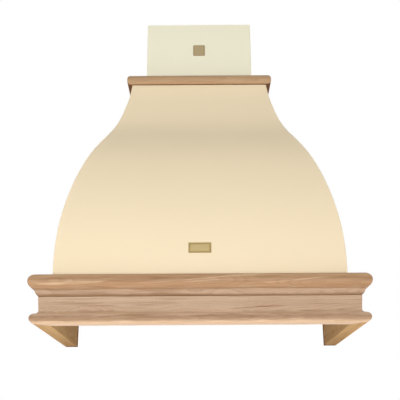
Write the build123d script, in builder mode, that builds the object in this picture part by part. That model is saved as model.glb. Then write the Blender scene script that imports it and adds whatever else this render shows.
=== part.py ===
"""Wall-mounted chimney hood: a bell-shaped steel canopy between a beech rail and a beech collar."""

from build123d import *
from math import atan, degrees, radians, sin, sqrt
import os

# The wall is the plane Y = 0 and the hood reaches from it towards -Y; X runs along the wall.
# The origin is the centre of the four wall fixings. A name that ends in _height is measured
# upwards from the underside of the wooden rail, and one that ends in _half or _reach sideways.
# Seen from above, rail, canopy and collar all follow the same two 45 degree mitre lines.

# ---------------------------------------------------------------- driving dimensions, in mm
overall_width = 900.0
overall_depth = 500.0
hang_height = 360.0
fit_gap = 0.3
sliding_gap = 0.3
shaft_gap = 0.05
pivot_gap = 0.1

# wooden rail
rail_height = 130.0
rail_reach = 56.0
rail_joint_height = 71.5
cap_nose_radius = 20.5
cap_rebate = 3.0
fascia_reach = 29.5
ovolo_reach = 9.0
ovolo_bulge = 3.3
base_nose_reach = 48.0
base_nose_radius = 13.5
cove_radius = 9.5
corner_block_leg = 40.0
corner_block_foot_height = 20.0

# sheet metal
sheet = 1.0
back_sheet = 1.5
bend_start_height = 167.0
neck_height = 816.0
neck_half = 216.8
belly_share = 0.66
top_flange = 15.0
neck_plate = 1.5

# wooden collar
collar_foot_height = 793.0
collar_thickness = 32.0
collar_half = 229.5
collar_lower_round = (8.0, 7.5)
collar_lower_bulge = 1.6
collar_upper_round = (9.0, 15.0)
collar_upper_bulge = 2.4

# chimney cover
chimney_half = 172.0
chimney_length = 490.0
chimney_foot_height = 551.0
chimney_edge_radius = 2.0
chimney_hole_gap = 2.0
chimney_flange = 15.0
flange_back_gap = 0.4
guide_foot = 16.0
guide_lip = 15.0
guide_lip_thickness = 1.5
guide_side_gap = 4.0
guide_foot_height = 560.0
guide_length = 250.0

# wall bracket at the top of the chimney
bracket_strip = 1.5
bracket_band = 25.0
bracket_below_top = 40.0
bracket_step = 1.6
bracket_ear = 36.0
bracket_hole_spacing = 240.0
bracket_hole_radius = 2.75

# wall fixings
fixing_spacing_x = 500.0
fixing_spacing_z = 300.0
fixing_hole_radius = 4.0
hanging_bar_length = 560.0
hanging_bar_width = 40.0
hanging_bar_thickness = 3.0

# bottom tray
tray_height = 74.0
tray_sheet = 1.2
tray_gap = 0.2
tray_lip = 18.0
pocket_spacing_gap = 16.0
tray_side_strip = 13.5
pocket_rear = 24.0
pocket_ledge = 8.0
ledge_gap = 0.4

# grease filters
filter_thickness = 10.0
filter_border = 12.0
filter_front_border = 24.0
filter_side_gap = 1.0
filter_front_gap = 1.0
filter_rear_gap = 2.5
mesh_thickness = 6.0
mesh_sheet = 0.8
mesh_pleats = 22
mesh_edge = 4.0
mesh_gap = 0.1
peg_stand_out = 1.0
peg_radius = 2.0
peg_inset = 5.0
bolt_width = 20.0
bolt_thickness = 3.0
bolt_length = 14.0
bolt_lug = (10.0, 4.0)
bolt_lug_drop = 2.0
bolt_travel = 5.0
bolt_slot_gap = 0.6

# lamps
lamp_side_distance = 105.5
lamp_strip_margin = 10.1
lamp_bezel_radius = 37.0
lamp_window_radius = 26.0
lamp_bezel_thickness = 3.0
lamp_bezel_round = 1.5
lamp_can_radius = 30.6
lamp_can_wall = 1.2
lamp_can_height = 28.0
lamp_hole_gap = 0.4
lamp_lens_thickness = 2.5
lamp_lens_gap = 0.4

# push-button control
control_panel_size = (132.0, 36.0, 2.5)
switch_block_size = (118.0, 28.0, 24.0)
switch_block_wall = 4.0
switch_block_cavity = 14.0
button_names = (
    "light_button",
    "off_button",
    "low_speed_button",
    "middle_speed_button",
    "high_speed_button",
)
button_size = (14.0, 10.0)
button_pitch = 22.0
button_stand_out = 3.5
button_above_panel = 6.0
button_flange = (17.0, 13.0, 1.5)
button_round = 1.0

# fan
fan_height = 300.0
fan_side_reach = 70.0
shell_wall = 2.5
scroll_radii = (110.0, 100.0, 90.0)
scroll_start = 115.0
scroll_top = 125.0
shell_flange = 8.0
shell_flange_thickness = 4.0
inlet_radius = 60.0
wheel_radius = 75.0
wheel_half_width = 56.0
wheel_ring_depth = 15.0
wheel_ring_thickness = 1.5
wheel_disc = 2.0
blade_count = 32
blade_thickness = 1.2
blade_chord = 14.0
blade_turn = 35.0
hub_radius = 11.0
hub_behind_disc = 4.0
hub_before_disc = 14.0
press_gap = 0.02
shaft_radius = 4.0
shaft_end_inset = 10.0
motor_radius = 42.0
motor_boss_radius = 10.0
motor_boss_length = 6.0
motor_edge_radius = 5.0
motor_hub_gap = 2.0
spider_thickness = 3.0
spider_rim_radius = 70.0
spider_rim = 10.0
spider_arm = 14.0
spider_plate_radius = 30.0
spider_arms = 3
spider_turn = 60.0

# fan outlet
duct_wall_distance = 115.0
outlet_plate = 164.0
outlet_plate_thickness = 3.0
spigot_radius = 75.0
spigot_wall = 2.5
spigot_length = 60.0
flap_rise = 17.0
flap_thickness = 1.5
flap_pin_radius = 1.5
flap_pin_offset = 6.5
flap_rim_gap = 1.0
flap_pin_reach = 1.8
flap_seat = 3.5
flap_seat_thickness = 1.2
crossbar = (6.0, 5.0)

# cradle that carries the fan on the back panel
cradle_strip = 1.5
cradle_band = 40.0
cradle_rise = 80.0
cradle_reach = 108.0

# electrical box
electric_box_side_distance = 150.5
electric_box_height = 330.0
electric_box_size = (90.0, 60.0, 32.0)
electric_box_wall = 2.0
electric_lid_thickness = 2.5
gland_radius = 8.0
gland_bore_radius = 4.5
gland_nut = (20.0, 5.0)
gland_length = 24.0

# badges
canopy_badge_size = (62.0, 29.0)
canopy_badge_height = 209.5
chimney_badge_size = (38.5, 39.0)
chimney_badge_height = 943.5
badge_thickness = 1.2
badge_rim = 2.0
badge_recess = 0.35
badge_corner_radius = 4.0
badge_room = 10.0

# screws: head radius, head height, shank radius; xs and ys are places along the wall and from it
rail_screw = (4.5, 2.4, 2.0)
rail_screw_length = 20.0
rail_screw_height = 112.0
rail_screw_xs = (-300, -100, 100, 300)
rail_screw_ys = (-60, -220, -380)
tray_screw_length = 12.0
tray_screw_height = 84.0
tray_screw_xs = (-200, 0, 200)
tray_screw_ys = (-140, -300)
collar_screw_length = 6.5
collar_screw_half = 189.0
collar_screw_xs = (-100, 100)
collar_screw_ys = (-60, -180)
chimney_screw = (4.0, 1.2, 1.75)
chimney_screw_length = 5.0
fan_screw = (3.4, 1.8, 1.6)
fan_screw_length = 6.5
outlet_screw_spacing = 90.0
cradle_screw_ys = (75, 100)
screw_hole_gap = 0.1

# ---------------------------------------------------------------- places that follow from them
rail_z = -hang_height
front_offset = overall_depth - overall_width / 2
inner_half = overall_width / 2 - rail_reach
fascia_half = inner_half + fascia_reach
cap_back_half = inner_half + cap_rebate
canopy_half = cap_back_half - fit_gap
skirt_inner_half = canopy_half - sheet
tray_half = skirt_inner_half - tray_gap
neck_top_height = neck_height + neck_plate
chimney_hole_half = chimney_half + chimney_hole_gap

front_section = Plane(origin=(0, -front_offset, rail_z), x_dir=(0, -1, 0), z_dir=(-1, 0, 0))
side_section = Plane(origin=(0, 0, rail_z), x_dir=(1, 0, 0), z_dir=(0, -1, 0))
wall_plane = Plane(origin=(0, 0, 0), x_dir=(1, 0, 0), z_dir=(0, -1, 0))
right_mitre = Plane(origin=(0, -front_offset, 0), z_dir=(1, 1, 0))
left_mitre = Plane(origin=(0, -front_offset, 0), z_dir=(-1, 1, 0))

os.makedirs("parts", exist_ok=True)


def level(height):
    """Horizontal plane at a height above the rail's underside."""
    return Plane.XY.offset(rail_z + height)


def finish(piece, name):
    """Label a finished piece and write its STEP file."""
    piece.part.label = name
    export_step(piece.part, f"parts/{name}.step")


def drill(seats, radius, depth):
    """Round holes through both sides of the seat planes."""
    with BuildSketch(*seats) as holes:
        Circle(radius)
    extrude(holes.sketch, amount=depth, both=True, mode=Mode.SUBTRACT)


def screws(seats, kind, length):
    """Pan-headed screws: the head stands on the seat plane and the shank points along its normal."""
    head_radius, head_height, shank_radius = kind
    with BuildSketch(*seats) as heads:
        Circle(head_radius)
    extrude(heads.sketch, amount=-head_height)
    with BuildSketch(*seats) as shanks:
        Circle(shank_radius)
    extrude(shanks.sketch, amount=length)


def mitred_front(section, half_length):
    """A length of the section across the front, cut at both mitres."""
    with BuildSketch(front_section) as profile:
        add(section.sketch)
    extrude(profile.sketch, amount=half_length, both=True)
    split(bisect_by=right_mitre, keep=Keep.BOTTOM)
    split(bisect_by=left_mitre, keep=Keep.BOTTOM)


def mitred_side(section, wall_gap):
    """The right-hand arm of the section, from the wall gap to the mitre."""
    with BuildSketch(side_section.offset(wall_gap)) as profile:
        add(section.sketch)
    extrude(profile.sketch, amount=overall_depth)
    split(bisect_by=right_mitre, keep=Keep.TOP)


# ---------------------------------------------------------------- screw seats
# Each seat is a plane whose origin is under the screw's head and whose normal is the shank.
def ring_seats(half, height, front_xs, side_ys):
    """Seats on the inside of a three-sided ring, pointing outwards through it."""
    z = rail_z + height
    front = [Plane(origin=(x, -(half + front_offset), z), z_dir=(0, -1, 0)) for x in front_xs]
    right = [Plane(origin=(half, y, z), z_dir=(1, 0, 0)) for y in side_ys]
    left = [Plane(origin=(-half, y, z), z_dir=(-1, 0, 0)) for y in side_ys]
    return front, right, left


rail_front_seats, rail_right_seats, rail_left_seats = ring_seats(
    skirt_inner_half, rail_screw_height, rail_screw_xs, rail_screw_ys
)
tray_front_seats, tray_right_seats, tray_left_seats = ring_seats(
    tray_half - tray_sheet, tray_screw_height, tray_screw_xs, tray_screw_ys
)
collar_seat_z = rail_z + neck_height
collar_screw_depth = collar_screw_half + front_offset
collar_front_seats = [Plane(origin=(x, -collar_screw_depth, collar_seat_z)) for x in collar_screw_xs]
collar_side_seats = [
    Plane(origin=(sign * collar_screw_half, y, collar_seat_z)) for sign in (-1, 1) for y in collar_screw_ys
]

# ---------------------------------------------------------------- wooden rail
cap_centre_half = overall_width / 2 - cap_nose_radius
cap_centre_height = rail_height - cap_nose_radius
cap_step_half = fascia_half + ovolo_reach
cap_step_height = cap_centre_height - sqrt(cap_nose_radius**2 - (cap_step_half - cap_centre_half) ** 2)

with BuildSketch() as cap_section:
    with BuildLine():
        cap_foot = Line((cap_back_half, rail_joint_height), (fascia_half, rail_joint_height))
        cap_ovolo = SagittaArc(cap_foot @ 1, (cap_step_half, cap_step_height), -ovolo_bulge)
        cap_nose = ThreePointArc(
            cap_ovolo @ 1, (overall_width / 2, cap_centre_height), (cap_centre_half, rail_height)
        )
        Polyline(cap_nose @ 1, (cap_back_half, rail_height), cap_foot @ 0)
    make_face()

base_nose_half = inner_half + base_nose_reach
base_centre_half = base_nose_half - base_nose_radius
cove_half = fascia_half + cove_radius
cove_foot_height = base_nose_radius + sqrt(base_nose_radius**2 - (cove_half - base_centre_half) ** 2)

with BuildSketch() as base_section:
    with BuildLine():
        base_foot = Line((inner_half, 0), (base_centre_half, 0))
        base_nose = ThreePointArc(
            base_foot @ 1, (base_nose_half, base_nose_radius), (cove_half, cove_foot_height)
        )
        CenterArc((cove_half, cove_foot_height + cove_radius), cove_radius, 180, 90)
        Polyline(
            (fascia_half, cove_foot_height + cove_radius),
            (fascia_half, rail_joint_height),
            (inner_half, rail_joint_height),
            base_foot @ 0,
        )
    make_face()

with BuildPart() as front_cap_moulding:
    mitred_front(cap_section, overall_width / 2)
    drill(rail_front_seats, rail_screw[2] + screw_hole_gap, rail_screw_length + screw_hole_gap)
    drill(tray_front_seats, rail_screw[2] + screw_hole_gap, tray_screw_length + screw_hole_gap)
finish(front_cap_moulding, "front_cap_moulding")

with BuildPart() as right_cap_moulding:
    mitred_side(cap_section, 0)
    drill(rail_right_seats, rail_screw[2] + screw_hole_gap, rail_screw_length + screw_hole_gap)
    drill(tray_right_seats, rail_screw[2] + screw_hole_gap, tray_screw_length + screw_hole_gap)
finish(right_cap_moulding, "right_cap_moulding")

with BuildPart() as left_cap_moulding:
    mirror(right_cap_moulding.part, about=Plane.YZ)
finish(left_cap_moulding, "left_cap_moulding")

with BuildPart() as front_base_moulding:
    mitred_front(base_section, overall_width / 2)
finish(front_base_moulding, "front_base_moulding")

with BuildPart() as right_base_moulding:
    mitred_side(base_section, 0)
finish(right_base_moulding, "right_base_moulding")

with BuildPart() as left_base_moulding:
    mirror(right_base_moulding.part, about=Plane.YZ)
finish(left_base_moulding, "left_base_moulding")

# Glued blocks in the rail's two front corners, out of sight from the front.
with BuildPart() as corner_blocks:
    with BuildSketch(level(corner_block_foot_height)):
        with BuildLine():
            Polyline(
                (inner_half, -(inner_half + front_offset)),
                (inner_half, -(inner_half + front_offset) + corner_block_leg),
                (inner_half - corner_block_leg, -(inner_half + front_offset)),
                close=True,
            )
        make_face()
        mirror(about=Plane.YZ)
    extrude(amount=rail_joint_height - corner_block_foot_height)
finish(corner_blocks, "corner_blocks")

with BuildPart() as rail_screws:
    screws(rail_front_seats + rail_right_seats + rail_left_seats, rail_screw, rail_screw_length)
finish(rail_screws, "rail_screws")

# ---------------------------------------------------------------- canopy
# The bell curve is two arcs that meet in a common tangent and end upright at skirt and neck.
bend_rise = neck_height - bend_start_height
bend_angle = degrees(2 * atan((canopy_half - neck_half) / bend_rise))
bend_radius_sum = bend_rise / sin(radians(bend_angle))
belly_radius = belly_share * bend_radius_sum
hollow_radius = bend_radius_sum - belly_radius


def bell_curve(inset):
    """The canopy's outline moved inwards by inset, from the skirt's foot to the neck."""
    skirt = Line((canopy_half - inset, rail_joint_height), (canopy_half - inset, bend_start_height))
    belly = JernArc(skirt @ 1, (0, 1), belly_radius - inset, bend_angle)
    hollow = JernArc(belly @ 1, belly % 1, hollow_radius + inset, -bend_angle)
    return skirt @ 0, hollow @ 1


with BuildSketch() as canopy_section:
    with BuildLine():
        outer_foot, outer_neck = bell_curve(0)
        inner_foot, inner_neck = bell_curve(sheet)
        Line(outer_foot, inner_foot)
        Line(outer_neck, inner_neck)
    make_face()
    with Locations((neck_half - sheet / 2, neck_height)):
        Rectangle(top_flange, sheet, align=(Align.MAX, Align.MAX))

with BuildPart() as canopy_front_panel:
    mitred_front(canopy_section, canopy_half)
    drill(rail_front_seats + tray_front_seats, rail_screw[2] + screw_hole_gap, rail_screw_length)
finish(canopy_front_panel, "canopy_front_panel")

with BuildPart() as canopy_right_panel:
    mitred_side(canopy_section, back_sheet)
    drill(rail_right_seats + tray_right_seats, rail_screw[2] + screw_hole_gap, rail_screw_length)
finish(canopy_right_panel, "canopy_right_panel")

with BuildPart() as canopy_left_panel:
    mirror(canopy_right_panel.part, about=Plane.YZ)
finish(canopy_left_panel, "canopy_left_panel")

with BuildPart() as back_panel:
    with BuildSketch(side_section):
        with BuildLine():
            edge_foot, edge_neck = bell_curve(0)
            Line((0, rail_joint_height), edge_foot)
            Line((0, neck_height), edge_neck)
            mirror(about=Plane.YZ)
        make_face()
    extrude(amount=back_sheet)
    with BuildSketch(wall_plane):
        with GridLocations(fixing_spacing_x, fixing_spacing_z, 2, 2):
            Circle(fixing_hole_radius)
    extrude(amount=back_sheet, mode=Mode.SUBTRACT)
finish(back_panel, "back_panel")

with BuildPart() as hanging_bars:
    with BuildSketch(wall_plane.offset(back_sheet)):
        with GridLocations(0, fixing_spacing_z, 1, 2):
            RectangleRounded(hanging_bar_length, hanging_bar_width, hanging_bar_thickness)
        with GridLocations(fixing_spacing_x, fixing_spacing_z, 2, 2):
            Circle(fixing_hole_radius, mode=Mode.SUBTRACT)
    extrude(amount=hanging_bar_thickness)
finish(hanging_bars, "hanging_bars")

# Flat plate that ties the three panels together at the neck and carries the collar.
with BuildPart() as neck_frame:
    with BuildSketch(level(neck_height)):
        Rectangle(2 * neck_half, neck_half + front_offset, align=(Align.CENTER, Align.MAX))
        Rectangle(
            2 * chimney_hole_half,
            chimney_hole_half + front_offset,
            align=(Align.CENTER, Align.MAX),
            mode=Mode.SUBTRACT,
        )
    extrude(amount=neck_plate)
    drill(collar_front_seats + collar_side_seats, rail_screw[2] + screw_hole_gap, neck_plate)
finish(neck_frame, "neck_frame")

# ---------------------------------------------------------------- wooden collar
collar_top_height = collar_foot_height + collar_thickness
canopy_rise_in_collar = neck_height - collar_foot_height
canopy_spread = hollow_radius - sqrt(hollow_radius**2 - canopy_rise_in_collar**2)
collar_back_half = neck_half + canopy_spread + fit_gap

with BuildSketch() as collar_section:
    with BuildLine():
        collar_foot = Line(
            (collar_back_half, collar_foot_height),
            (collar_half - collar_lower_round[0], collar_foot_height),
        )
        collar_lower = SagittaArc(
            collar_foot @ 1, (collar_half, collar_foot_height + collar_lower_round[1]), -collar_lower_bulge
        )
        collar_face = Line(collar_lower @ 1, (collar_half, collar_top_height - collar_upper_round[1]))
        collar_upper = SagittaArc(
            collar_face @ 1, (collar_half - collar_upper_round[0], collar_top_height), -collar_upper_bulge
        )
        Polyline(
            collar_upper @ 1,
            (chimney_hole_half, collar_top_height),
            (chimney_hole_half, neck_top_height),
            (collar_back_half, neck_top_height),
            collar_foot @ 0,
        )
    make_face()

with BuildPart() as collar_front:
    mitred_front(collar_section, collar_half)
    drill(collar_front_seats, rail_screw[2] + screw_hole_gap, collar_screw_length + screw_hole_gap)
finish(collar_front, "collar_front")

with BuildPart() as collar_right:
    mitred_side(collar_section, 0)
    drill(collar_side_seats, rail_screw[2] + screw_hole_gap, collar_screw_length + screw_hole_gap)
finish(collar_right, "collar_right")

with BuildPart() as collar_left:
    mirror(collar_right.part, about=Plane.YZ)
finish(collar_left, "collar_left")

with BuildPart() as collar_screws:
    screws(collar_front_seats + collar_side_seats, rail_screw, collar_screw_length)
finish(collar_screws, "collar_screws")

# ---------------------------------------------------------------- chimney cover
chimney_front = chimney_half + front_offset
flange_rear_y = -(back_sheet + flange_back_gap)
flange_front_y = flange_rear_y - sheet
bracket_foot_height = chimney_foot_height + chimney_length - bracket_below_top
chimney_screw_y = -(back_sheet + bracket_ear / 2 + bracket_step)
chimney_screw_seats = [
    Plane(
        origin=(sign * chimney_half, chimney_screw_y, rail_z + bracket_foot_height + bracket_band / 2),
        z_dir=(-sign, 0, 0),
    )
    for sign in (-1, 1)
]

with BuildPart() as chimney_cover:
    with BuildSketch(level(chimney_foot_height)) as chimney_section:
        with Locations((0, flange_rear_y)):
            Rectangle(2 * chimney_half, chimney_front + flange_rear_y, align=(Align.CENTER, Align.MAX))
        front_corners = chimney_section.vertices().group_by(Axis.Y)[0]
        fillet(front_corners, chimney_edge_radius)
        offset(amount=-sheet, kind=Kind.INTERSECTION, mode=Mode.SUBTRACT)
        with Locations((0, flange_rear_y)):
            Rectangle(2 * (chimney_half - chimney_flange), 3 * sheet, mode=Mode.SUBTRACT)
    extrude(amount=chimney_length)
    drill(chimney_screw_seats, chimney_screw[2] + screw_hole_gap, chimney_screw_length)
finish(chimney_cover, "chimney_cover")

# Aluminium guides on the back panel hold the cover's rear flanges and let it slide upwards.
guide_lip_front_y = flange_front_y - sliding_gap - guide_lip_thickness
guide_foot_half = chimney_half - chimney_flange - guide_side_gap

with BuildPart() as chimney_guides:
    with BuildSketch(level(guide_foot_height)):
        with BuildLine():
            Polyline(
                (guide_foot_half - guide_foot, -back_sheet),
                (guide_foot_half, -back_sheet),
                (guide_foot_half, guide_lip_front_y + guide_lip_thickness),
                (guide_foot_half + guide_lip, guide_lip_front_y + guide_lip_thickness),
                (guide_foot_half + guide_lip, guide_lip_front_y),
                (guide_foot_half - guide_foot, guide_lip_front_y),
                close=True,
            )
        make_face()
        mirror(about=Plane.YZ)
    extrude(amount=guide_length)
finish(chimney_guides, "chimney_guides")

# Joggled strip that is screwed to the wall inside the chimney's top.
joggle_half = chimney_half - chimney_flange - guide_side_gap
joggle_rear_y = flange_front_y - bracket_step
ear_half = chimney_half - sheet

with BuildPart() as chimney_wall_bracket:
    with BuildSketch(level(bracket_foot_height)):
        with BuildLine():
            Polyline(
                (0, 0),
                (joggle_half, 0),
                (joggle_half, joggle_rear_y),
                (ear_half, joggle_rear_y),
                (ear_half, joggle_rear_y - bracket_ear),
                (ear_half - bracket_strip, joggle_rear_y - bracket_ear),
                (ear_half - bracket_strip, joggle_rear_y - bracket_strip),
                (joggle_half - bracket_strip, joggle_rear_y - bracket_strip),
                (joggle_half - bracket_strip, -bracket_strip),
                (0, -bracket_strip),
                close=True,
            )
        make_face()
        mirror(about=Plane.YZ)
    extrude(amount=bracket_band)
    with BuildSketch(wall_plane):
        with Locations((0, rail_z + bracket_foot_height + bracket_band / 2)):
            with GridLocations(bracket_hole_spacing, 0, 2, 1):
                Circle(bracket_hole_radius)
    extrude(amount=bracket_strip, mode=Mode.SUBTRACT)
    drill(chimney_screw_seats, chimney_screw[2] + screw_hole_gap, chimney_screw_length)
finish(chimney_wall_bracket, "chimney_wall_bracket")

with BuildPart() as chimney_screws:
    screws(chimney_screw_seats, chimney_screw, chimney_screw_length)
finish(chimney_screws, "chimney_screws")

# ---------------------------------------------------------------- bottom tray
tray_rear_y = -(back_sheet + tray_gap)
tray_depth = tray_half + front_offset + tray_rear_y
strip_front_y = -(skirt_inner_half + front_offset)
pocket_front_y = strip_front_y + 2 * (lamp_bezel_radius + lamp_strip_margin)
pocket_depth = -pocket_front_y - pocket_rear
pocket_width = tray_half - tray_side_strip - pocket_spacing_gap / 2
pocket_x = pocket_spacing_gap / 2 + pocket_width / 2
pocket_wall_height = filter_thickness + ledge_gap + tray_sheet
filter_width = pocket_width - 2 * filter_side_gap
filter_depth = pocket_depth - filter_front_gap - filter_rear_gap
lamp_x = tray_half - lamp_side_distance
strip_y = (strip_front_y + pocket_front_y - tray_sheet) / 2
peg_height = tray_height + filter_thickness / 2
peg_y = -(pocket_rear + filter_rear_gap + peg_inset)
lamp_hole_radius = lamp_can_radius + lamp_hole_gap
cutout_width = switch_block_size[0] - 2 * switch_block_wall
cutout_depth = switch_block_size[1] - 2 * switch_block_wall

with BuildPart() as bottom_tray:
    with BuildSketch(level(tray_height)):
        with Locations((0, tray_rear_y)):
            Rectangle(2 * tray_half, tray_depth, align=(Align.CENTER, Align.MAX))
    extrude(amount=tray_sheet)
    with BuildSketch(level(tray_height)):
        with Locations((0, tray_rear_y)):
            Rectangle(2 * tray_half, tray_depth, align=(Align.CENTER, Align.MAX))
        with Locations((0, tray_rear_y - tray_sheet)):
            Rectangle(
                2 * (tray_half - tray_sheet),
                tray_depth - 2 * tray_sheet,
                align=(Align.CENTER, Align.MAX),
                mode=Mode.SUBTRACT,
            )
    extrude(amount=tray_lip)
    with BuildSketch(level(tray_height)):
        with Locations((-pocket_x, -pocket_rear + tray_sheet), (pocket_x, -pocket_rear + tray_sheet)):
            Rectangle(
                pocket_width + 2 * tray_sheet,
                pocket_depth + 2 * tray_sheet,
                align=(Align.CENTER, Align.MAX),
            )
    extrude(amount=pocket_wall_height)
    with BuildSketch(level(tray_height)):
        with Locations((-pocket_x, -pocket_rear), (pocket_x, -pocket_rear)):
            Rectangle(pocket_width, pocket_depth, align=(Align.CENTER, Align.MAX))
    extrude(amount=pocket_wall_height, mode=Mode.SUBTRACT)
    with BuildSketch(level(tray_height + pocket_wall_height - tray_sheet)):
        with Locations((-pocket_x, pocket_front_y), (pocket_x, pocket_front_y)):
            Rectangle(pocket_width, pocket_ledge, align=(Align.CENTER, Align.MIN))
    extrude(amount=tray_sheet)
    # slots that the filter bolts slide into, and holes for the filters' hinge pegs
    bolt_slot_plane = Plane(
        origin=(0, pocket_front_y, rail_z + peg_height), x_dir=(1, 0, 0), z_dir=(0, -1, 0)
    )
    with BuildSketch(bolt_slot_plane):
        with Locations((-pocket_x, 0), (pocket_x, 0)):
            Rectangle(bolt_width + 2 * bolt_slot_gap, bolt_thickness + 2 * bolt_slot_gap)
    extrude(amount=tray_sheet, mode=Mode.SUBTRACT)
    with BuildSketch(Plane(origin=(0, peg_y, rail_z + peg_height), z_dir=(1, 0, 0))):
        Circle(peg_radius + pivot_gap)
    extrude(amount=pocket_x + pocket_width / 2 + tray_sheet, both=True, mode=Mode.SUBTRACT)
    with BuildSketch(level(tray_height)):
        with Locations((-lamp_x, strip_y), (lamp_x, strip_y)):
            Circle(lamp_hole_radius)
        with Locations((0, strip_y)):
            Rectangle(cutout_width, cutout_depth)
    extrude(amount=tray_sheet, mode=Mode.SUBTRACT)
    drill(
        tray_front_seats + tray_right_seats + tray_left_seats,
        rail_screw[2] + screw_hole_gap,
        2 * tray_sheet,
    )
finish(bottom_tray, "bottom_tray")

with BuildPart() as tray_screws:
    screws(tray_front_seats + tray_right_seats + tray_left_seats, rail_screw, tray_screw_length)
finish(tray_screws, "tray_screws")

# ---------------------------------------------------------------- grease filters
filter_front_y = pocket_front_y + filter_front_gap
filter_rear_y = filter_front_y + filter_depth
window_width = filter_width - 2 * filter_border
window_depth = filter_depth - filter_border - filter_front_border
window_y = (filter_front_y + filter_front_border + filter_rear_y - filter_border) / 2
peg_length = filter_side_gap + tray_sheet + peg_stand_out
mesh_width = window_width + 2 * (mesh_edge - fit_gap)
mesh_depth = window_depth + 2 * (mesh_edge - fit_gap)
mesh_folds = 2 * mesh_pleats
mesh_wave = mesh_thickness / 2 - mesh_sheet / 2
mesh_line = [
    (mesh_width * (fold / mesh_folds - 0.5), mesh_wave * (-1) ** fold) for fold in range(mesh_folds + 1)
]
mesh_upper = [(x, z + mesh_sheet / 2) for x, z in mesh_line]
mesh_lower = [(x, z - mesh_sheet / 2) for x, z in reversed(mesh_line)]
bolt_front_y = filter_front_y + sliding_gap
bolt_room = bolt_length + 2 * sliding_gap

for side, sign in (("left", -1), ("right", 1)):
    filter_x = sign * pocket_x

    with BuildPart() as filter_frame:
        with BuildSketch(level(tray_height)):
            with Locations((filter_x, filter_front_y)):
                Rectangle(filter_width, filter_depth, align=(Align.CENTER, Align.MIN))
            with Locations((filter_x, window_y)):
                Rectangle(window_width, window_depth, mode=Mode.SUBTRACT)
        extrude(amount=filter_thickness)
        # groove that holds the edge of the mesh
        with BuildSketch(level(tray_height + (filter_thickness - mesh_thickness) / 2 - mesh_gap)):
            with Locations((filter_x, window_y)):
                Rectangle(window_width + 2 * mesh_edge, window_depth + 2 * mesh_edge)
        extrude(amount=mesh_thickness + 2 * mesh_gap, mode=Mode.SUBTRACT)
        # hinge pegs at the rear corners
        peg_planes = [
            Plane(origin=(filter_x + end * filter_width / 2, peg_y, rail_z + peg_height), z_dir=(end, 0, 0))
            for end in (-1, 1)
        ]
        with BuildSketch(*peg_planes):
            Circle(peg_radius)
        extrude(amount=peg_length)
        # tunnel of the sliding bolt, and the finger slot under it
        with BuildSketch(
            Plane(origin=(filter_x, filter_front_y, rail_z + peg_height), x_dir=(1, 0, 0), z_dir=(0, 1, 0))
        ):
            Rectangle(bolt_width + 2 * sliding_gap, bolt_thickness + 2 * sliding_gap)
        extrude(amount=bolt_room, mode=Mode.SUBTRACT)
        with BuildSketch(level(tray_height)):
            with Locations((filter_x, bolt_front_y + bolt_length + sliding_gap)):
                Rectangle(
                    bolt_lug[0] + 2 * sliding_gap,
                    bolt_lug[1] + bolt_travel + 2 * sliding_gap,
                    align=(Align.CENTER, Align.MAX),
                )
        extrude(amount=filter_thickness / 2, mode=Mode.SUBTRACT)
    finish(filter_frame, f"filter_frame_{side}")

    # pleated sheet, drawn across the filter and carried from rear to front
    mesh_rear_y = window_y + mesh_depth / 2
    mesh_plane = Plane(
        origin=(filter_x, mesh_rear_y, rail_z + peg_height), x_dir=(1, 0, 0), z_dir=(0, -1, 0)
    )
    with BuildPart() as filter_mesh:
        with BuildSketch(mesh_plane):
            with BuildLine():
                Polyline(*mesh_upper, *mesh_lower, close=True)
            make_face()
        extrude(amount=mesh_depth)
    finish(filter_mesh, f"filter_mesh_{side}")

    with BuildPart() as filter_bolt:
        with BuildSketch(level(peg_height - bolt_thickness / 2)):
            with Locations((filter_x, bolt_front_y)):
                Rectangle(bolt_width, bolt_length, align=(Align.CENTER, Align.MIN))
        extrude(amount=bolt_thickness)
        with BuildSketch(level(tray_height - bolt_lug_drop)):
            with Locations((filter_x, bolt_front_y + bolt_length)):
                Rectangle(*bolt_lug, align=(Align.CENTER, Align.MAX))
        extrude(amount=bolt_lug_drop + filter_thickness / 2)
    finish(filter_bolt, f"filter_bolt_{side}")

# ---------------------------------------------------------------- lamps
for side, sign in (("left", -1), ("right", 1)):
    with BuildPart() as lamp_bezel:
        with BuildSketch(level(tray_height - lamp_bezel_thickness)):
            with Locations((sign * lamp_x, strip_y)):
                Circle(lamp_bezel_radius)
                Circle(lamp_window_radius, mode=Mode.SUBTRACT)
        extrude(amount=lamp_bezel_thickness)
        lower_rims = lamp_bezel.edges().group_by(Axis.Z)[0]
        fillet(lower_rims, lamp_bezel_round)
    finish(lamp_bezel, f"lamp_bezel_{side}")

    with BuildPart() as lamp_lens:
        with BuildSketch(level(tray_height)):
            with Locations((sign * lamp_x, strip_y)):
                Circle(lamp_can_radius - lamp_can_wall - lamp_lens_gap)
        extrude(amount=lamp_lens_thickness)
    finish(lamp_lens, f"lamp_lens_{side}")

    with BuildPart() as lamp_can:
        with BuildSketch(level(tray_height)):
            with Locations((sign * lamp_x, strip_y)):
                Circle(lamp_can_radius)
        extrude(amount=lamp_can_height)
        with BuildSketch(level(tray_height)):
            with Locations((sign * lamp_x, strip_y)):
                Circle(lamp_can_radius - lamp_can_wall)
        extrude(amount=lamp_can_height - lamp_can_wall, mode=Mode.SUBTRACT)
    finish(lamp_can, f"lamp_can_{side}")

# ---------------------------------------------------------------- push-button control
button_xs = [(index - (len(button_names) - 1) / 2) * button_pitch for index in range(len(button_names))]
panel_foot_height = tray_height - control_panel_size[2]

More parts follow.
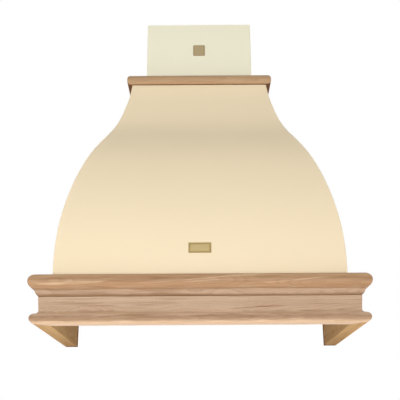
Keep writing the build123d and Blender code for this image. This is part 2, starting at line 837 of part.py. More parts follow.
with BuildPart() as control_panel:
    with BuildSketch(level(panel_foot_height)):
        with Locations((0, strip_y)):
            RectangleRounded(control_panel_size[0], control_panel_size[1], badge_corner_radius)
        with Locations(*[(x, strip_y) for x in button_xs]):
            Rectangle(
                button_size[0] + 2 * sliding_gap, button_size[1] + 2 * sliding_gap, mode=Mode.SUBTRACT
            )
    extrude(amount=control_panel_size[2])
finish(control_panel, "control_panel")

with BuildPart() as switch_block:
    with BuildSketch(level(tray_height + tray_sheet)):
        with Locations((0, strip_y)):
            Rectangle(switch_block_size[0], switch_block_size[1])
    extrude(amount=switch_block_size[2])
    with BuildSketch(level(tray_height + tray_sheet)):
        with Locations((0, strip_y)):
            Rectangle(cutout_width, cutout_depth)
    extrude(amount=switch_block_cavity, mode=Mode.SUBTRACT)
finish(switch_block, "switch_block")

for name, x in zip(button_names, button_xs):
    with BuildPart() as button:
        with BuildSketch(level(panel_foot_height - button_stand_out)):
            with Locations((x, strip_y)):
                Rectangle(*button_size)
        extrude(amount=button_stand_out + control_panel_size[2] + button_above_panel)
        button_face = button.edges().group_by(Axis.Z)[0]
        fillet(button_face, button_round)
        with BuildSketch(level(tray_height + sliding_gap)):
            with Locations((x, strip_y)):
                Rectangle(button_flange[0], button_flange[1])
        extrude(amount=button_flange[2])
    finish(button, name)

# ---------------------------------------------------------------- fan
# The scroll is three quarter arcs that shrink from the outlet's rear wall round to its tongue.
duct_y = -duct_wall_distance
tongue_x = scroll_start - scroll_radii[0] - scroll_radii[1] + scroll_radii[2]
outlet_width = scroll_start - tongue_x
fan_y = duct_y - (scroll_start + tongue_x) / 2
fan_section = Plane(origin=(0, fan_y, rail_z + fan_height), x_dir=(0, 1, 0), z_dir=(1, 0, 0))
outlet_height = fan_height + scroll_top

with BuildSketch() as scroll_section:
    with BuildLine():
        rear_wall = Line((scroll_start, scroll_top), (scroll_start, 0))
        lower_rear = JernArc(rear_wall @ 1, (0, -1), scroll_radii[0], -90)
        lower_front = JernArc(lower_rear @ 1, lower_rear % 1, scroll_radii[1], -90)
        upper_front = JernArc(lower_front @ 1, lower_front % 1, scroll_radii[2], -90)
        Polyline(upper_front @ 1, (tongue_x, scroll_top), rear_wall @ 0)
    make_face()

outlet_screw_x = fan_side_reach + shell_flange / 2
outlet_screw_z = rail_z + outlet_height + outlet_plate_thickness
outlet_screw_seats = [
    Plane(origin=(x, duct_y + y, outlet_screw_z), z_dir=(0, 0, -1))
    for x in (-outlet_screw_x, outlet_screw_x)
    for y in (-outlet_screw_spacing / 2, outlet_screw_spacing / 2)
]
cradle_screw_seats = [
    Plane(
        origin=(sign * (fan_side_reach + cradle_strip), fan_y + y, rail_z + fan_height + cradle_rise),
        z_dir=(-sign, 0, 0),
    )
    for sign in (-1, 1)
    for y in cradle_screw_ys
]
spider_plane = fan_section.offset(-(fan_side_reach + spider_thickness))
spider_screw_radius = spider_rim_radius - spider_rim / 2
spider_screw_circle = PolarLocations(spider_screw_radius, spider_arms, start_angle=spider_turn)
spider_screw_seats = [Plane(spider_plane.location * place) for place in spider_screw_circle.local_locations]

with BuildPart() as fan_right_shell:
    with BuildSketch(fan_section):
        add(scroll_section.sketch)
        offset(amount=shell_wall, kind=Kind.INTERSECTION)
    extrude(amount=fan_side_reach)
    with BuildSketch(fan_section):
        add(scroll_section.sketch)
        with Locations((duct_y - fan_y, scroll_top)):
            Rectangle(outlet_width, 4 * shell_wall)
    extrude(amount=fan_side_reach - shell_wall, mode=Mode.SUBTRACT)
    split(bisect_by=level(outlet_height), keep=Keep.BOTTOM)
    with BuildSketch(level(outlet_height - shell_flange_thickness)):
        with Locations((fan_side_reach, duct_y)):
            Rectangle(shell_flange, outlet_width + 2 * shell_wall, align=(Align.MIN, Align.CENTER))
    extrude(amount=shell_flange_thickness)
    with BuildSketch(fan_section):
        Circle(inlet_radius)
    extrude(amount=fan_side_reach, mode=Mode.SUBTRACT)
    drill(
        outlet_screw_seats + cradle_screw_seats,
        fan_screw[2] + screw_hole_gap,
        fan_screw_length + screw_hole_gap,
    )
finish(fan_right_shell, "fan_right_shell")

with BuildPart() as fan_left_shell:
    mirror(fan_right_shell.part, about=Plane.YZ)
    drill(spider_screw_seats, fan_screw[2] + screw_hole_gap, fan_screw_length + screw_hole_gap)
finish(fan_left_shell, "fan_left_shell")

# The double-inlet wheel is a hub on a middle disc, with a ring of blades on each side of it.
with BuildPart() as fan_wheel:
    with BuildSketch(fan_section.offset(-wheel_disc / 2)):
        Circle(wheel_radius - wheel_ring_thickness)
    extrude(amount=wheel_disc)
    with BuildSketch(
        fan_section.offset(wheel_half_width - wheel_ring_thickness), fan_section.offset(-wheel_half_width)
    ):
        Circle(wheel_radius)
        Circle(wheel_radius - wheel_ring_depth, mode=Mode.SUBTRACT)
    extrude(amount=wheel_ring_thickness)
    with BuildSketch(fan_section.offset(-hub_behind_disc)):
        Circle(hub_radius)
    extrude(amount=hub_behind_disc + hub_before_disc)
    with BuildSketch(fan_section):
        Circle(shaft_radius + press_gap)
    extrude(amount=hub_before_disc, both=True, mode=Mode.SUBTRACT)
finish(fan_wheel, "fan_wheel")

blade_length = wheel_half_width - wheel_ring_thickness - wheel_disc / 2

with BuildPart() as fan_blades:
    with BuildSketch(
        fan_section.offset(wheel_disc / 2), fan_section.offset(-wheel_disc / 2 - blade_length)
    ):
        with PolarLocations(wheel_radius - wheel_ring_depth / 2, blade_count):
            Rectangle(blade_chord, blade_thickness, rotation=blade_turn)
    extrude(amount=blade_length)
finish(fan_blades, "fan_blades")

motor_boss_end = -(hub_behind_disc + motor_hub_gap)
motor_front = motor_boss_end - motor_boss_length
shaft_start = -(fan_side_reach - shaft_end_inset)

with BuildPart() as fan_shaft:
    with BuildSketch(fan_section.offset(shaft_start)):
        Circle(shaft_radius)
    extrude(amount=hub_before_disc - shaft_start)
finish(fan_shaft, "fan_shaft")

with BuildPart() as motor:
    with BuildSketch(fan_section.offset(-fan_side_reach)):
        Circle(motor_radius)
    extrude(amount=fan_side_reach + motor_front)
    front_rim = motor.edges().group_by(Axis.X)[-1]
    fillet(front_rim, motor_edge_radius)
    with BuildSketch(fan_section.offset(motor_front)):
        Circle(motor_boss_radius)
    extrude(amount=motor_boss_length)
    with BuildSketch(fan_section.offset(motor_boss_end)):
        Circle(shaft_radius + shaft_gap)
    extrude(amount=shaft_start - motor_boss_end - fit_gap, mode=Mode.SUBTRACT)
finish(motor, "motor")

with BuildPart() as motor_spider:
    with BuildSketch(spider_plane):
        Circle(spider_rim_radius)
        Circle(spider_rim_radius - spider_rim, mode=Mode.SUBTRACT)
        Circle(spider_plate_radius)
        with PolarLocations(spider_screw_radius / 2, spider_arms, start_angle=spider_turn):
            Rectangle(spider_screw_radius, spider_arm)
    extrude(amount=spider_thickness)
    drill(spider_screw_seats, fan_screw[2] + screw_hole_gap, spider_thickness)
finish(motor_spider, "motor_spider")

# Sheet-steel cradle: a strip on the back panel with an arm along each side of the fan.
with BuildPart() as fan_cradle:
    cradle_half = fan_side_reach + cradle_strip
    with BuildSketch(level(fan_height + cradle_rise - cradle_band / 2)):
        with Locations((0, -back_sheet)):
            Rectangle(2 * cradle_half, cradle_reach - back_sheet, align=(Align.CENTER, Align.MAX))
        with Locations((0, -back_sheet - cradle_strip)):
            Rectangle(2 * fan_side_reach, cradle_reach, align=(Align.CENTER, Align.MAX), mode=Mode.SUBTRACT)
    extrude(amount=cradle_band)
    drill(cradle_screw_seats, fan_screw[2] + screw_hole_gap, cradle_strip)
finish(fan_cradle, "fan_cradle")

# ---------------------------------------------------------------- fan outlet and its two back-draught flaps
bore_radius = spigot_radius - spigot_wall
wall_middle_radius = spigot_radius - spigot_wall / 2
plate_top_height = outlet_height + outlet_plate_thickness
pin_height = plate_top_height + flap_rise
flap_foot_height = pin_height - flap_pin_radius
seat_foot_height = flap_foot_height - fit_gap - flap_seat_thickness
flap_radius = bore_radius - flap_rim_gap
pin_half_length = sqrt(bore_radius**2 - flap_pin_offset**2) + flap_pin_reach
duct_axis = (0, duct_y)

with BuildPart() as fan_outlet:
    with BuildSketch(level(outlet_height)):
        with Locations(duct_axis):
            Rectangle(outlet_plate, outlet_plate)
    extrude(amount=outlet_plate_thickness)
    with BuildSketch(level(plate_top_height)):
        with Locations(duct_axis):
            Circle(spigot_radius)
            Circle(bore_radius, mode=Mode.SUBTRACT)
    extrude(amount=spigot_length)
    with BuildSketch(level(outlet_height)):
        with Locations(duct_axis):
            Circle(bore_radius)
            Rectangle(2 * (fan_side_reach - shell_wall), outlet_width, mode=Mode.INTERSECT)
    extrude(amount=outlet_plate_thickness, mode=Mode.SUBTRACT)
    with BuildSketch(level(seat_foot_height)):
        with Locations(duct_axis):
            Circle(wall_middle_radius)
            Circle(bore_radius - flap_seat, mode=Mode.SUBTRACT)
    extrude(amount=flap_seat_thickness)
    with BuildSketch(level(seat_foot_height)):
        with Locations(duct_axis):
            Rectangle(2 * wall_middle_radius, crossbar[0])
    extrude(amount=crossbar[1])
    for side in (-1, 1):
        pin_plane = Plane(origin=(0, duct_y + side * flap_pin_offset, rail_z + pin_height), z_dir=(1, 0, 0))
        with BuildSketch(pin_plane):
            Circle(flap_pin_radius + pivot_gap)
        extrude(amount=spigot_radius, both=True, mode=Mode.SUBTRACT)
    drill(outlet_screw_seats, fan_screw[2] + screw_hole_gap, outlet_plate_thickness)
finish(fan_outlet, "fan_outlet")

with BuildPart() as rear_flap:
    with BuildSketch(level(flap_foot_height)):
        with Locations(duct_axis):
            Circle(flap_radius)
        with Locations((0, duct_y + flap_pin_offset)):
            Rectangle(2 * spigot_radius, spigot_radius, align=(Align.CENTER, Align.MIN), mode=Mode.INTERSECT)
    extrude(amount=flap_thickness)
    with BuildSketch(Plane(origin=(0, duct_y + flap_pin_offset, rail_z + pin_height), z_dir=(1, 0, 0))):
        Circle(flap_pin_radius)
    extrude(amount=pin_half_length, both=True)
finish(rear_flap, "rear_flap")

with BuildPart() as front_flap:
    mirror(rear_flap.part, about=Plane.XZ.offset(-duct_y))
finish(front_flap, "front_flap")

with BuildPart() as fan_screws:
    screws(outlet_screw_seats + cradle_screw_seats + spider_screw_seats, fan_screw, fan_screw_length)
finish(fan_screws, "fan_screws")

# ---------------------------------------------------------------- electrical box
box_width, box_high, box_deep = electric_box_size
electric_box_x = tray_half - electric_box_side_distance
box_front_y = -(back_sheet + box_deep)
box_plane = Plane(
    origin=(electric_box_x, -back_sheet, rail_z + electric_box_height), x_dir=(1, 0, 0), z_dir=(0, -1, 0)
)
gland_y = -(back_sheet + box_deep / 2)
gland_foot_height = electric_box_height - box_high / 2 - gland_nut[1]

with BuildPart() as electric_box:
    with BuildSketch(box_plane):
        Rectangle(box_width, box_high)
    extrude(amount=box_deep)
    with BuildSketch(box_plane.offset(electric_box_wall)):
        Rectangle(box_width - 2 * electric_box_wall, box_high - 2 * electric_box_wall)
    extrude(amount=box_deep, mode=Mode.SUBTRACT)
    with BuildSketch(level(electric_box_height - box_high / 2)):
        with Locations((electric_box_x, gland_y)):
            Circle(gland_radius + fit_gap)
    extrude(amount=electric_box_wall, mode=Mode.SUBTRACT)
finish(electric_box, "electric_box")

with BuildPart() as electric_box_lid:
    with BuildSketch(box_plane.offset(box_deep)):
        RectangleRounded(box_width, box_high, electric_box_wall)
    extrude(amount=electric_lid_thickness)
finish(electric_box_lid, "electric_box_lid")

with BuildPart() as cable_gland:
    with BuildSketch(level(gland_foot_height)):
        with Locations((electric_box_x, gland_y)):
            RegularPolygon(gland_nut[0] / 2, 6)
    extrude(amount=gland_nut[1])
    with BuildSketch(level(gland_foot_height)):
        with Locations((electric_box_x, gland_y)):
            Circle(gland_radius)
    extrude(amount=gland_length)
    with BuildSketch(level(gland_foot_height)):
        with Locations((electric_box_x, gland_y)):
            Circle(gland_bore_radius)
    extrude(amount=gland_length, mode=Mode.SUBTRACT)
finish(cable_gland, "cable_gland")

# ---------------------------------------------------------------- badges
# The canopy's plate is bent to the belly's radius; both plates are blank inside a raised rim.
belly_centre = (canopy_half - belly_radius, bend_start_height)

with BuildPart() as canopy_badge:
    with BuildSketch(front_section):
        with Locations(belly_centre):
            Circle(belly_radius + badge_thickness)
            Circle(belly_radius, mode=Mode.SUBTRACT)
        with Locations((canopy_half, canopy_badge_height)):
            Rectangle(badge_room, canopy_badge_size[1], mode=Mode.INTERSECT)
    extrude(amount=canopy_badge_size[0] / 2, both=True)
    with BuildSketch(front_section):
        with Locations(belly_centre):
            Circle(belly_radius + 2 * badge_thickness)
            Circle(belly_radius + badge_thickness - badge_recess, mode=Mode.SUBTRACT)
        with Locations((canopy_half, canopy_badge_height)):
            Rectangle(badge_room, canopy_badge_size[1] - 2 * badge_rim, mode=Mode.INTERSECT)
    extrude(amount=canopy_badge_size[0] / 2 - badge_rim, both=True, mode=Mode.SUBTRACT)
finish(canopy_badge, "canopy_badge")

chimney_badge_plane = Plane(
    origin=(0, -chimney_front, rail_z + chimney_badge_height), x_dir=(1, 0, 0), z_dir=(0, -1, 0)
)
with BuildPart() as chimney_badge:
    with BuildSketch(chimney_badge_plane):
        RectangleRounded(chimney_badge_size[0], chimney_badge_size[1], badge_corner_radius)
    extrude(amount=badge_thickness)
    with BuildSketch(chimney_badge_plane.offset(badge_thickness - badge_recess)):
        RectangleRounded(
            chimney_badge_size[0] - 2 * badge_rim,
            chimney_badge_size[1] - 2 * badge_rim,
            badge_corner_radius - badge_rim,
        )
    extrude(amount=badge_thickness, mode=Mode.SUBTRACT)
finish(chimney_badge, "chimney_badge")
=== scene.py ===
import bmesh
import bpy
import numpy as np
from mathutils import Matrix


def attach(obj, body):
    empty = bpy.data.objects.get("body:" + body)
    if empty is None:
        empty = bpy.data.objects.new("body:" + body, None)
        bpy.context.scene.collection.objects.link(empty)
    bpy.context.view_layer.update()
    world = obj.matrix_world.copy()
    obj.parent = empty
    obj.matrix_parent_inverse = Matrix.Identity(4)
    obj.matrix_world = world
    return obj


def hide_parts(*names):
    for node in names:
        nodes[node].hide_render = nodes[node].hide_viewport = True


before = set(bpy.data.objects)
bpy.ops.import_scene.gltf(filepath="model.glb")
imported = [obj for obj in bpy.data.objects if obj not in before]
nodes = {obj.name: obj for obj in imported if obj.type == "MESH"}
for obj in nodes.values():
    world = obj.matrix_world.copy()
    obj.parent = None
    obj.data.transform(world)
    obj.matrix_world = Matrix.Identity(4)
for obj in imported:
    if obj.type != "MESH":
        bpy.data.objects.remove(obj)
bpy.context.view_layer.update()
mm = 0.001
noEnd = 50.0  # metres along the grain, where no board reaches
memberSides = ("front", "left", "right")
print("frame loaded:", len(nodes), "nodes")

# places shared by several pieces, in mm; heights are above the rail's underside
hood = {
    "hang": 360.0,  # the wall fixings' centre above the rail's underside
    "depthOffset": 50.0,  # depth from the wall = half width + this, on every mitred piece
    "railHalf": 450.0,
    "innerHalf": 394.0,
    "canopyHalf": 396.7,
    "neckHalf": 216.8,
    "neckHeight": 816.0,
    "bendStart": 167.0,
    "bellyShare": 0.66,
}
surface = {
    "merge": 1e-6,  # metres between points that become one
    "flatAngle": 0.5,  # a copy's faces that differ by less become one
    "pieceAngle": 35.0,  # edges beyond this stay sharp and are eased
    "copyAngle": 30.0,
    "bevelSteps": 3,
}


def gridFaces(rows, cols, closeRows=False, closeCols=False):
    # quads of a rows x cols grid of points, wrapped round where a direction is closed
    i = np.arange(rows if closeRows else rows - 1)
    j = np.arange(cols if closeCols else cols - 1)
    i, j = (a.ravel() for a in np.meshgrid(i, j, indexing="ij"))
    iNext, jNext = (i + 1) % rows, (j + 1) % cols
    return np.stack([i * cols + j, iNext * cols + j, iNext * cols + jNext, i * cols + jNext], 1)


def addObject(name, data):
    thing = bpy.data.objects.new(name, data)
    bpy.context.scene.collection.objects.link(thing)
    return thing


def finishPiece(name, mesh, material, body, replaces, bevel, angle):
    # smooth up to the angle, eased by a small round beyond it, and carried by its body
    mesh.materials.append(material)
    piece = addObject(name, mesh)
    mesh.shade_smooth()
    mesh.set_sharp_from_angle(angle=np.radians(angle))
    if bevel:
        easing = piece.modifiers.new("easedEdges", "BEVEL")
        easing.width = bevel * mm
        easing.segments = surface["bevelSteps"]
        easing.limit_method = "ANGLE"
        easing.angle_limit = np.radians(angle)
        easing.harden_normals = True
    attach(piece, body)
    if replaces:
        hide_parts(*replaces)
    return piece


def makePiece(name, points, faces, material, body, slot, replaces=(), bevel=0.0, angle=surface["pieceAngle"]):
    # points in mm in the frame's axes; doubles are merged and the faces turned outwards
    mesh = bpy.data.meshes.new(name)
    mesh.from_pydata((np.asarray(points) * mm).tolist(), [], [list(map(int, f)) for f in faces])
    build = bmesh.new()
    build.from_mesh(mesh)
    bmesh.ops.remove_doubles(build, verts=build.verts, dist=surface["merge"])
    bmesh.ops.recalc_face_normals(build, faces=build.faces)
    build.to_mesh(mesh)
    build.free()
    return finishPiece(name, mesh, material, body, replaces, bevel, angle)


def easedCopy(name, node, body, material, bevel):
    # the CAD piece's own surface, merged to plain faces, with its edges eased
    mesh = nodes[node].data.copy()
    mesh.name = name
    build = bmesh.new()
    build.from_mesh(mesh)
    bmesh.ops.remove_doubles(build, verts=build.verts, dist=surface["merge"])
    flat = np.radians(surface["flatAngle"])
    bmesh.ops.dissolve_limit(build, angle_limit=flat, verts=build.verts, edges=build.edges)
    build.to_mesh(mesh)
    build.free()
    mesh.materials.clear()
    return finishPiece(name, mesh, material, body, [node], bevel, surface["copyAngle"])


def tubeFaces(rows, cols):
    # faces of a closed profile of rows points carried along cols stations, with a face at each end
    end = np.arange(rows) * cols
    return gridFaces(rows, cols, closeRows=True).tolist() + [end.tolist(), (end + cols - 1).tolist()]


def arc(centre, radius, startDegrees, endDegrees, count):
    # points on a circle: centre + radius * (cos a, sin a)
    a = np.radians(np.linspace(startDegrees, endDegrees, count))
    return np.stack([centre[0] + radius * np.cos(a), centre[1] + radius * np.sin(a)], 1)


def bulge(start, end, rise, count):
    # circular arc from start to end that stands rise mm off the straight line, on its right where rise > 0
    start, end = np.array(start, float), np.array(end, float)
    chord = end - start
    length = np.hypot(*chord)
    side = np.array([chord[1], -chord[0]]) / length
    radius = (length**2 / 4 + rise**2) / (2 * abs(rise))
    t = np.linspace(-1, 1, count)[:, None] * length / 2
    sag = np.sqrt(radius**2 - t**2) - (radius - abs(rise))
    return (start + end) / 2 + chord / length * t + side * sag * np.sign(rise)


def mitredMember(profile, side, gap=0.0, corner=0.0, cornerSteps=0):
    # Each profile point (half width o, height h) is carried straight along its member. Across the front it
    # runs at depth o + depthOffset from mitre to mitre, and down a side from the wall to the mitre at half
    # width o. A corner radius rounds the plan at the mitre, so that the members meet in one smooth bend.
    o, h = profile[:, :1], profile[:, 1:]
    depth = o + hood["depthOffset"]
    bend = np.radians(np.linspace(0, 45, cornerSteps + 1))[None, :]
    onward, inward = corner * np.sin(bend), corner * (1 - np.cos(bend))
    if side == "front":
        xs, ys = o - corner + onward, inward - depth
        xs, ys = np.hstack([-xs[:, ::-1], xs]), np.hstack([ys[:, ::-1], ys])
    else:
        xs, ys = np.hstack([o, o - inward]), np.hstack([0 * o - gap, corner - onward - depth])
        xs = -xs if side == "left" else xs
    return np.stack([xs, ys, h - hood["hang"] + 0 * xs], 2)


# faces beyond this tilt take the second look, which is painted light and shade
levelTilt = 0.98  # how nearly straight down, or straight in, a face has to look to count as hidden


def memberPiece(name, node, profile, side, looks, slot, bevel, tilt=levelTilt, **how):
    # a closed profile carried along its member; faces that look down or in towards the hood's middle take
    # the second look, a copy of the wood painted for the light and shade on those faces
    grid = mitredMember(profile, side, **how)
    faces = tubeFaces(*grid.shape[:2])
    piece = makePiece(name, grid.reshape(-1, 3), faces, looks[0], "hood", slot, [node], bevel)
    if len(looks) > 1:
        mesh = piece.data
        mesh.materials.append(looks[1])
        normals = np.empty(len(mesh.polygons) * 3)
        mesh.polygons.foreach_get("normal", normals)
        normals = normals.reshape(-1, 3)
        inward = {"front": normals[:, 1], "left": normals[:, 0], "right": -normals[:, 0]}[side]
        paintedShadeFaces = (normals[:, 2] < -tilt) | (inward > levelTilt)
        mesh.polygons.foreach_set("material_index", paintedShadeFaces.astype(np.int32))
    return piece


def lathe(profile, centre, steps):
    # a profile of (radius, height) spun about an upright line through centre:
    # x = cx + r cos a, y = cy + r sin a
    a = np.linspace(0, 2 * np.pi, steps, endpoint=False)[None, :]
    r, h = profile[:, :1], profile[:, 1:]
    x, y = centre[0] + r * np.cos(a), centre[1] + r * np.sin(a)
    grid = np.stack([x, y, h - hood["hang"] + 0 * x], 2)
    return grid.reshape(-1, 3), gridFaces(len(profile), steps, closeCols=True)


def roundedRectangle(width, height, radius, steps=6):
    # the four corner arcs in turn, anticlockwise, as one closed loop
    x, y = width / 2 - radius, height / 2 - radius
    corners = ((x, -y, -90), (x, y, 0), (-x, y, 90), (-x, -y, 180))
    return np.vstack([arc((cx, cy), radius, start, start + 90, steps) for cx, cy, start in corners])


def unit(vectors):
    return vectors / np.linalg.norm(vectors, axis=-1, keepdims=True)


def stroke(path, width, height, closed, steps=5, sunk=0.02):
    # a raised line: a half ellipse, width across and height high, carried along a flat path, square to it and
    # a little sunk into the face; gives (u, v, lift off the face) and the faces
    ahead = np.roll(path, -1, 0) - path if closed else np.gradient(path, axis=0)
    behind = path - np.roll(path, 1, 0) if closed else ahead
    along = unit(unit(ahead) + unit(behind))
    side = np.stack([along[:, 1], -along[:, 0]], 1)
    a = np.linspace(0, np.pi, steps)
    across, lift = np.cos(a) * width / 2, np.sin(a) * height - sunk
    grid = path[:, None, :] + side[:, None, :] * across[None, :, None]
    grid = np.concatenate([grid, np.broadcast_to(lift[None, :, None], (len(path), steps, 1))], 2)
    faces = gridFaces(len(path), steps, closeRows=closed, closeCols=True).tolist()
    if not closed:
        faces += [list(range(steps)), list(range((len(path) - 1) * steps, len(path) * steps))]
    return grid.reshape(-1, 3), faces


def joinParts(parts):
    # several (points, faces) as one
    points, faces, count = [], [], 0
    for partPoints, partFaces in parts:
        points.append(partPoints)
        faces += [[int(v) + count for v in f] for f in partFaces]
        count += len(partPoints)
    return np.vstack(points), faces


class Net:
    # short hand for adding and joining the nodes of one tree
    def __init__(self, tree):
        self.tree = tree

    def feed(self, inputs, sources):
        # a socket is joined, and anything else becomes the input's value
        for key, source in sources.items():
            if isinstance(source, bpy.types.NodeSocket):
                self.tree.links.new(source, inputs[key])
            else:
                inputs[key].default_value = source

    def add(self, kind, sources=None, **values):
        node = self.tree.nodes.new("ShaderNode" + kind)
        for key, value in values.items():
            setattr(node, key, value)
        self.feed(node.inputs, sources or {})
        return node

    def mask(self, kind, *sources):
        return self.add("Group", dict(enumerate(sources)), node_tree=groups[kind]).outputs["Mask"]

    def close(self, **outputs):
        # ends a group
        self.feed(self.tree.nodes.new("NodeGroupOutput").inputs, outputs)
        return self.tree

    def math(self, operation, a, b=0.0, c=0.0, clamp=False):
        return self.add("Math", {0: a, 1: b, 2: c}, operation=operation, use_clamp=clamp).outputs[0]

    def plus(self, a, b):
        return self.math("ADD", a, b)

    def minus(self, a, b):
        return self.math("SUBTRACT", a, b)

    def times(self, a, b):
        return self.math("MULTIPLY", a, b)

    def timesPlus(self, a, b, c, clamp=False):
        return self.math("MULTIPLY_ADD", a, b, c, clamp)

    def vector(self, operation, *sources):
        return self.add("VectorMath", dict(enumerate(sources)), operation=operation).outputs[0]

    def noise(self, vector, scale, detail, roughness=0.5):
        values = {"Vector": vector, "Scale": scale, "Detail": detail, "Roughness": roughness}
        return self.add("TexNoise", values).outputs["Fac"]

    def drawn(self, vector, along, across, detail, roughness):
        # noise drawn out along X: along and across are its scales
        return self.noise(self.vector("MULTIPLY", vector, (along, across, across)), 1.0, detail, roughness)

    def remap(self, value, low, high, toLow=0.0, toHigh=1.0):
        values = {"Value": value, "From Min": low, "From Max": high, "To Min": toLow, "To Max": toHigh}
        return self.add("MapRange", values, clamp=True).outputs["Result"]

    def mix(self, factor, a, b, blend="MIX"):
        return self.add("Mix", {"Factor": factor, 6: a, 7: b}, data_type="RGBA", blend_type=blend).outputs[2]

    def tinted(self, mask, colour, tint):
        # the colour, multiplied by the tint where the mask is 1
        return self.mix(mask, colour, self.mix(1.0, colour, (*tint, 1.0), "MULTIPLY"))

    def scaled(self, colour, factor):
        return self.add("VectorMath", {0: colour, "Scale": factor}, operation="SCALE").outputs[0]


def newGroup(name, values, outputs=("Color", "Roughness", "Height")):
    # a group with a Vector input, handed back on its own too, and one for each value; a tuple is a colour
    tree = bpy.data.node_groups.new(name, "ShaderNodeTree")
    tree.interface.new_socket("Vector", in_out="INPUT", socket_type="NodeSocketVector")
    for label, value in values.items():
        kind = "NodeSocketColor" if isinstance(value, tuple) else "NodeSocketFloat"
        tree.interface.new_socket(label, in_out="INPUT", socket_type=kind).default_value = value
    for label in outputs:
        kind = "NodeSocketColor" if label == "Color" else "NodeSocketFloat"
        tree.interface.new_socket(label, in_out="OUTPUT", socket_type=kind)
    given = tree.nodes.new("NodeGroupInput").outputs
    return Net(tree), given, given["Vector"]


def srgb(r, g, b):
    # 0-255 screen colour to a linear one
    c = np.array([r, g, b], float) / 255
    c = np.where(c <= 0.04045, c / 12.92, ((c + 0.055) / 1.055) ** 2.4)
    return (*c.tolist(), 1.0)


beech = {
    "ringSpacing": 0.0030,
    # the trunk's wander, up to about 20 mm over a third of a metre: scale, reach, and half of it back
    "wander": ((2.4, 5.0, 5.0), (0.0, 0.07, 0.10), (0.0, -0.035, -0.05)),
    "lean": (0.020, -0.015),  # of the trunk across and up, over its length
    # noise drawn out along the grain: scales along and across, detail and roughness
    "waver": (4.0, 60.0, 3.0, 0.5),
    "zone": (1.6, 24.0, 3.0, 0.55),
    "lines": (7.0, 170.0, 2.0, 0.5),
    "fibre": (12.0, 480.0, 3.0, 0.6),
    "fleck": (110.0, 1700.0, 1.0, 0.4),
    "shares": (0.34, 0.50, 0.30, 0.6),  # of latewood, lines, fibres and flecks in the colour
    "zoneRange": (-0.08, 0.42),
    # metres from the end where it starts and where it is full, strength and tint: painted shade falling off
    # towards the wall, then a stain
    "dusk": (0.44, 0.04, 0.85, (0.64, 0.60, 0.58)),
    "stain": (0.026, 0.020, 1.0, (0.50, 0.36, 0.27)),
}


def buildBeechGroup():
    # Plain-sawn beech with its grain along X. Growth rings are cylinders about a line that runs nearly along
    # X behind the face and wanders, so a face shows long nested arches. Broad zones, thin brown lines, fibres
    # and ray flecks are noise drawn out along X. Towards its end at X = End a board is painted darker, as
    # shade falling off towards the wall, and it is stained there.
    tones = {"Light": srgb(212, 180, 150), "Dark": srgb(172, 132, 98), "Fleck": srgb(118, 80, 52)}
    net, given, p = newGroup("beechGrain", {"Ring Spacing": beech["ringSpacing"], **tones, "End": noEnd})
    scale, reach, back = beech["wander"]
    sway = {"Vector": net.vector("MULTIPLY", p, scale), "Scale": 1.0, "Detail": 2.0}
    swayed = net.vector("MULTIPLY_ADD", net.add("TexNoise", sway).outputs["Color"], reach, p)
    axes = net.add("SeparateXYZ", {0: net.vector("ADD", swayed, back)}).outputs
    across = net.timesPlus(axes["X"], beech["lean"][0], axes["Y"])
    up = net.timesPlus(axes["X"], beech["lean"][1], axes["Z"])
    radius = net.math("SQRT", net.plus(net.times(across, across), net.times(up, up)))
    turns = net.math("DIVIDE", radius, given["Ring Spacing"])
    ring = net.math("FRACT", net.timesPlus(net.drawn(p, *beech["waver"]), 1.1, turns))
    # each ring darkens slowly to its latewood and ends there
    late = net.times(net.remap(ring, 0.1, 0.88), net.remap(ring, 1.0, 0.88))
    late = net.math("POWER", late, 1.5)
    zone, fibre = net.drawn(p, *beech["zone"]), net.drawn(p, *beech["fibre"])
    lines = net.remap(net.drawn(p, *beech["lines"]), 0.54, 0.72)
    fleck = net.remap(net.drawn(p, *beech["fleck"]), 0.68, 0.75)
    lateShare, lineShare, fibreShare, fleckShare = beech["shares"]
    tone = net.timesPlus(late, lateShare, net.remap(zone, 0.3, 0.72, *beech["zoneRange"]))
    tone = net.timesPlus(lines, lineShare, tone)
    tone = net.timesPlus(net.remap(fibre, 0.3, 0.7, -0.5, 0.5), fibreShare, tone, clamp=True)
    colour = net.mix(tone, given["Light"], given["Dark"])
    colour = net.mix(net.times(fleck, fleckShare), colour, given["Fleck"])
    x = net.add("SeparateXYZ", {0: p}).outputs["X"]
    fromEnd = net.math("ABSOLUTE", net.minus(x, given["End"]))
    raggedEnd = net.timesPlus(fibre, 0.008, fromEnd)
    # painted shade darkening the board towards the wall end, then the stain right at the end
    for distance, (start, full, strength, tint) in ((fromEnd, beech["dusk"]), (raggedEnd, beech["stain"])):
        colour = net.tinted(net.remap(distance, start, full, 0.0, strength), colour, tint)
    rough = net.timesPlus(tone, 0.10, 0.48)
    height = net.timesPlus(fleck, -0.6, net.times(fibre, 0.5))
    return net.close(Color=colour, Roughness=rough, Height=height)


def buildLensGroup():
    # one long lens of other colour on a face, as (x, height): full on a sloping line and nothing at the half
    # width, which narrows to nothing at both ends, so it is
    # 1 - |dh - slope dx| / (half width (1 - (dx / half length)^2)) with a ragged edge
    values = {"Centre X": 0.0, "Centre Z": 0.0, "Slope": 0.0, "Half Length": 0.1, "Half Width": 0.004}
    net, given, p = newGroup("woodLens", {**values, "Strength": 1.0}, ["Mask"])
    axes = net.add("SeparateXYZ", {0: p}).outputs
    dx = net.minus(axes["X"], given["Centre X"])
    dh = net.minus(axes["Z"], given["Centre Z"])
    dh = net.minus(dh, net.times(dx, given["Slope"]))
    ragged = net.minus(net.drawn(p, 14.0, 90.0, 3.0, 0.6), 0.5)
    dh = net.timesPlus(ragged, net.times(given["Half Width"], 1.6), dh)
    share = net.math("DIVIDE", dx, given["Half Length"])
    taper = net.minus(1.0, net.times(share, share))
    width = net.math("MAXIMUM", net.times(given["Half Width"], taper), 0.00005)
    mask = net.remap(net.math("DIVIDE", net.math("ABSOLUTE", dh), width), 1.0, 0.35)
    return net.close(Mask=net.times(mask, given["Strength"]))


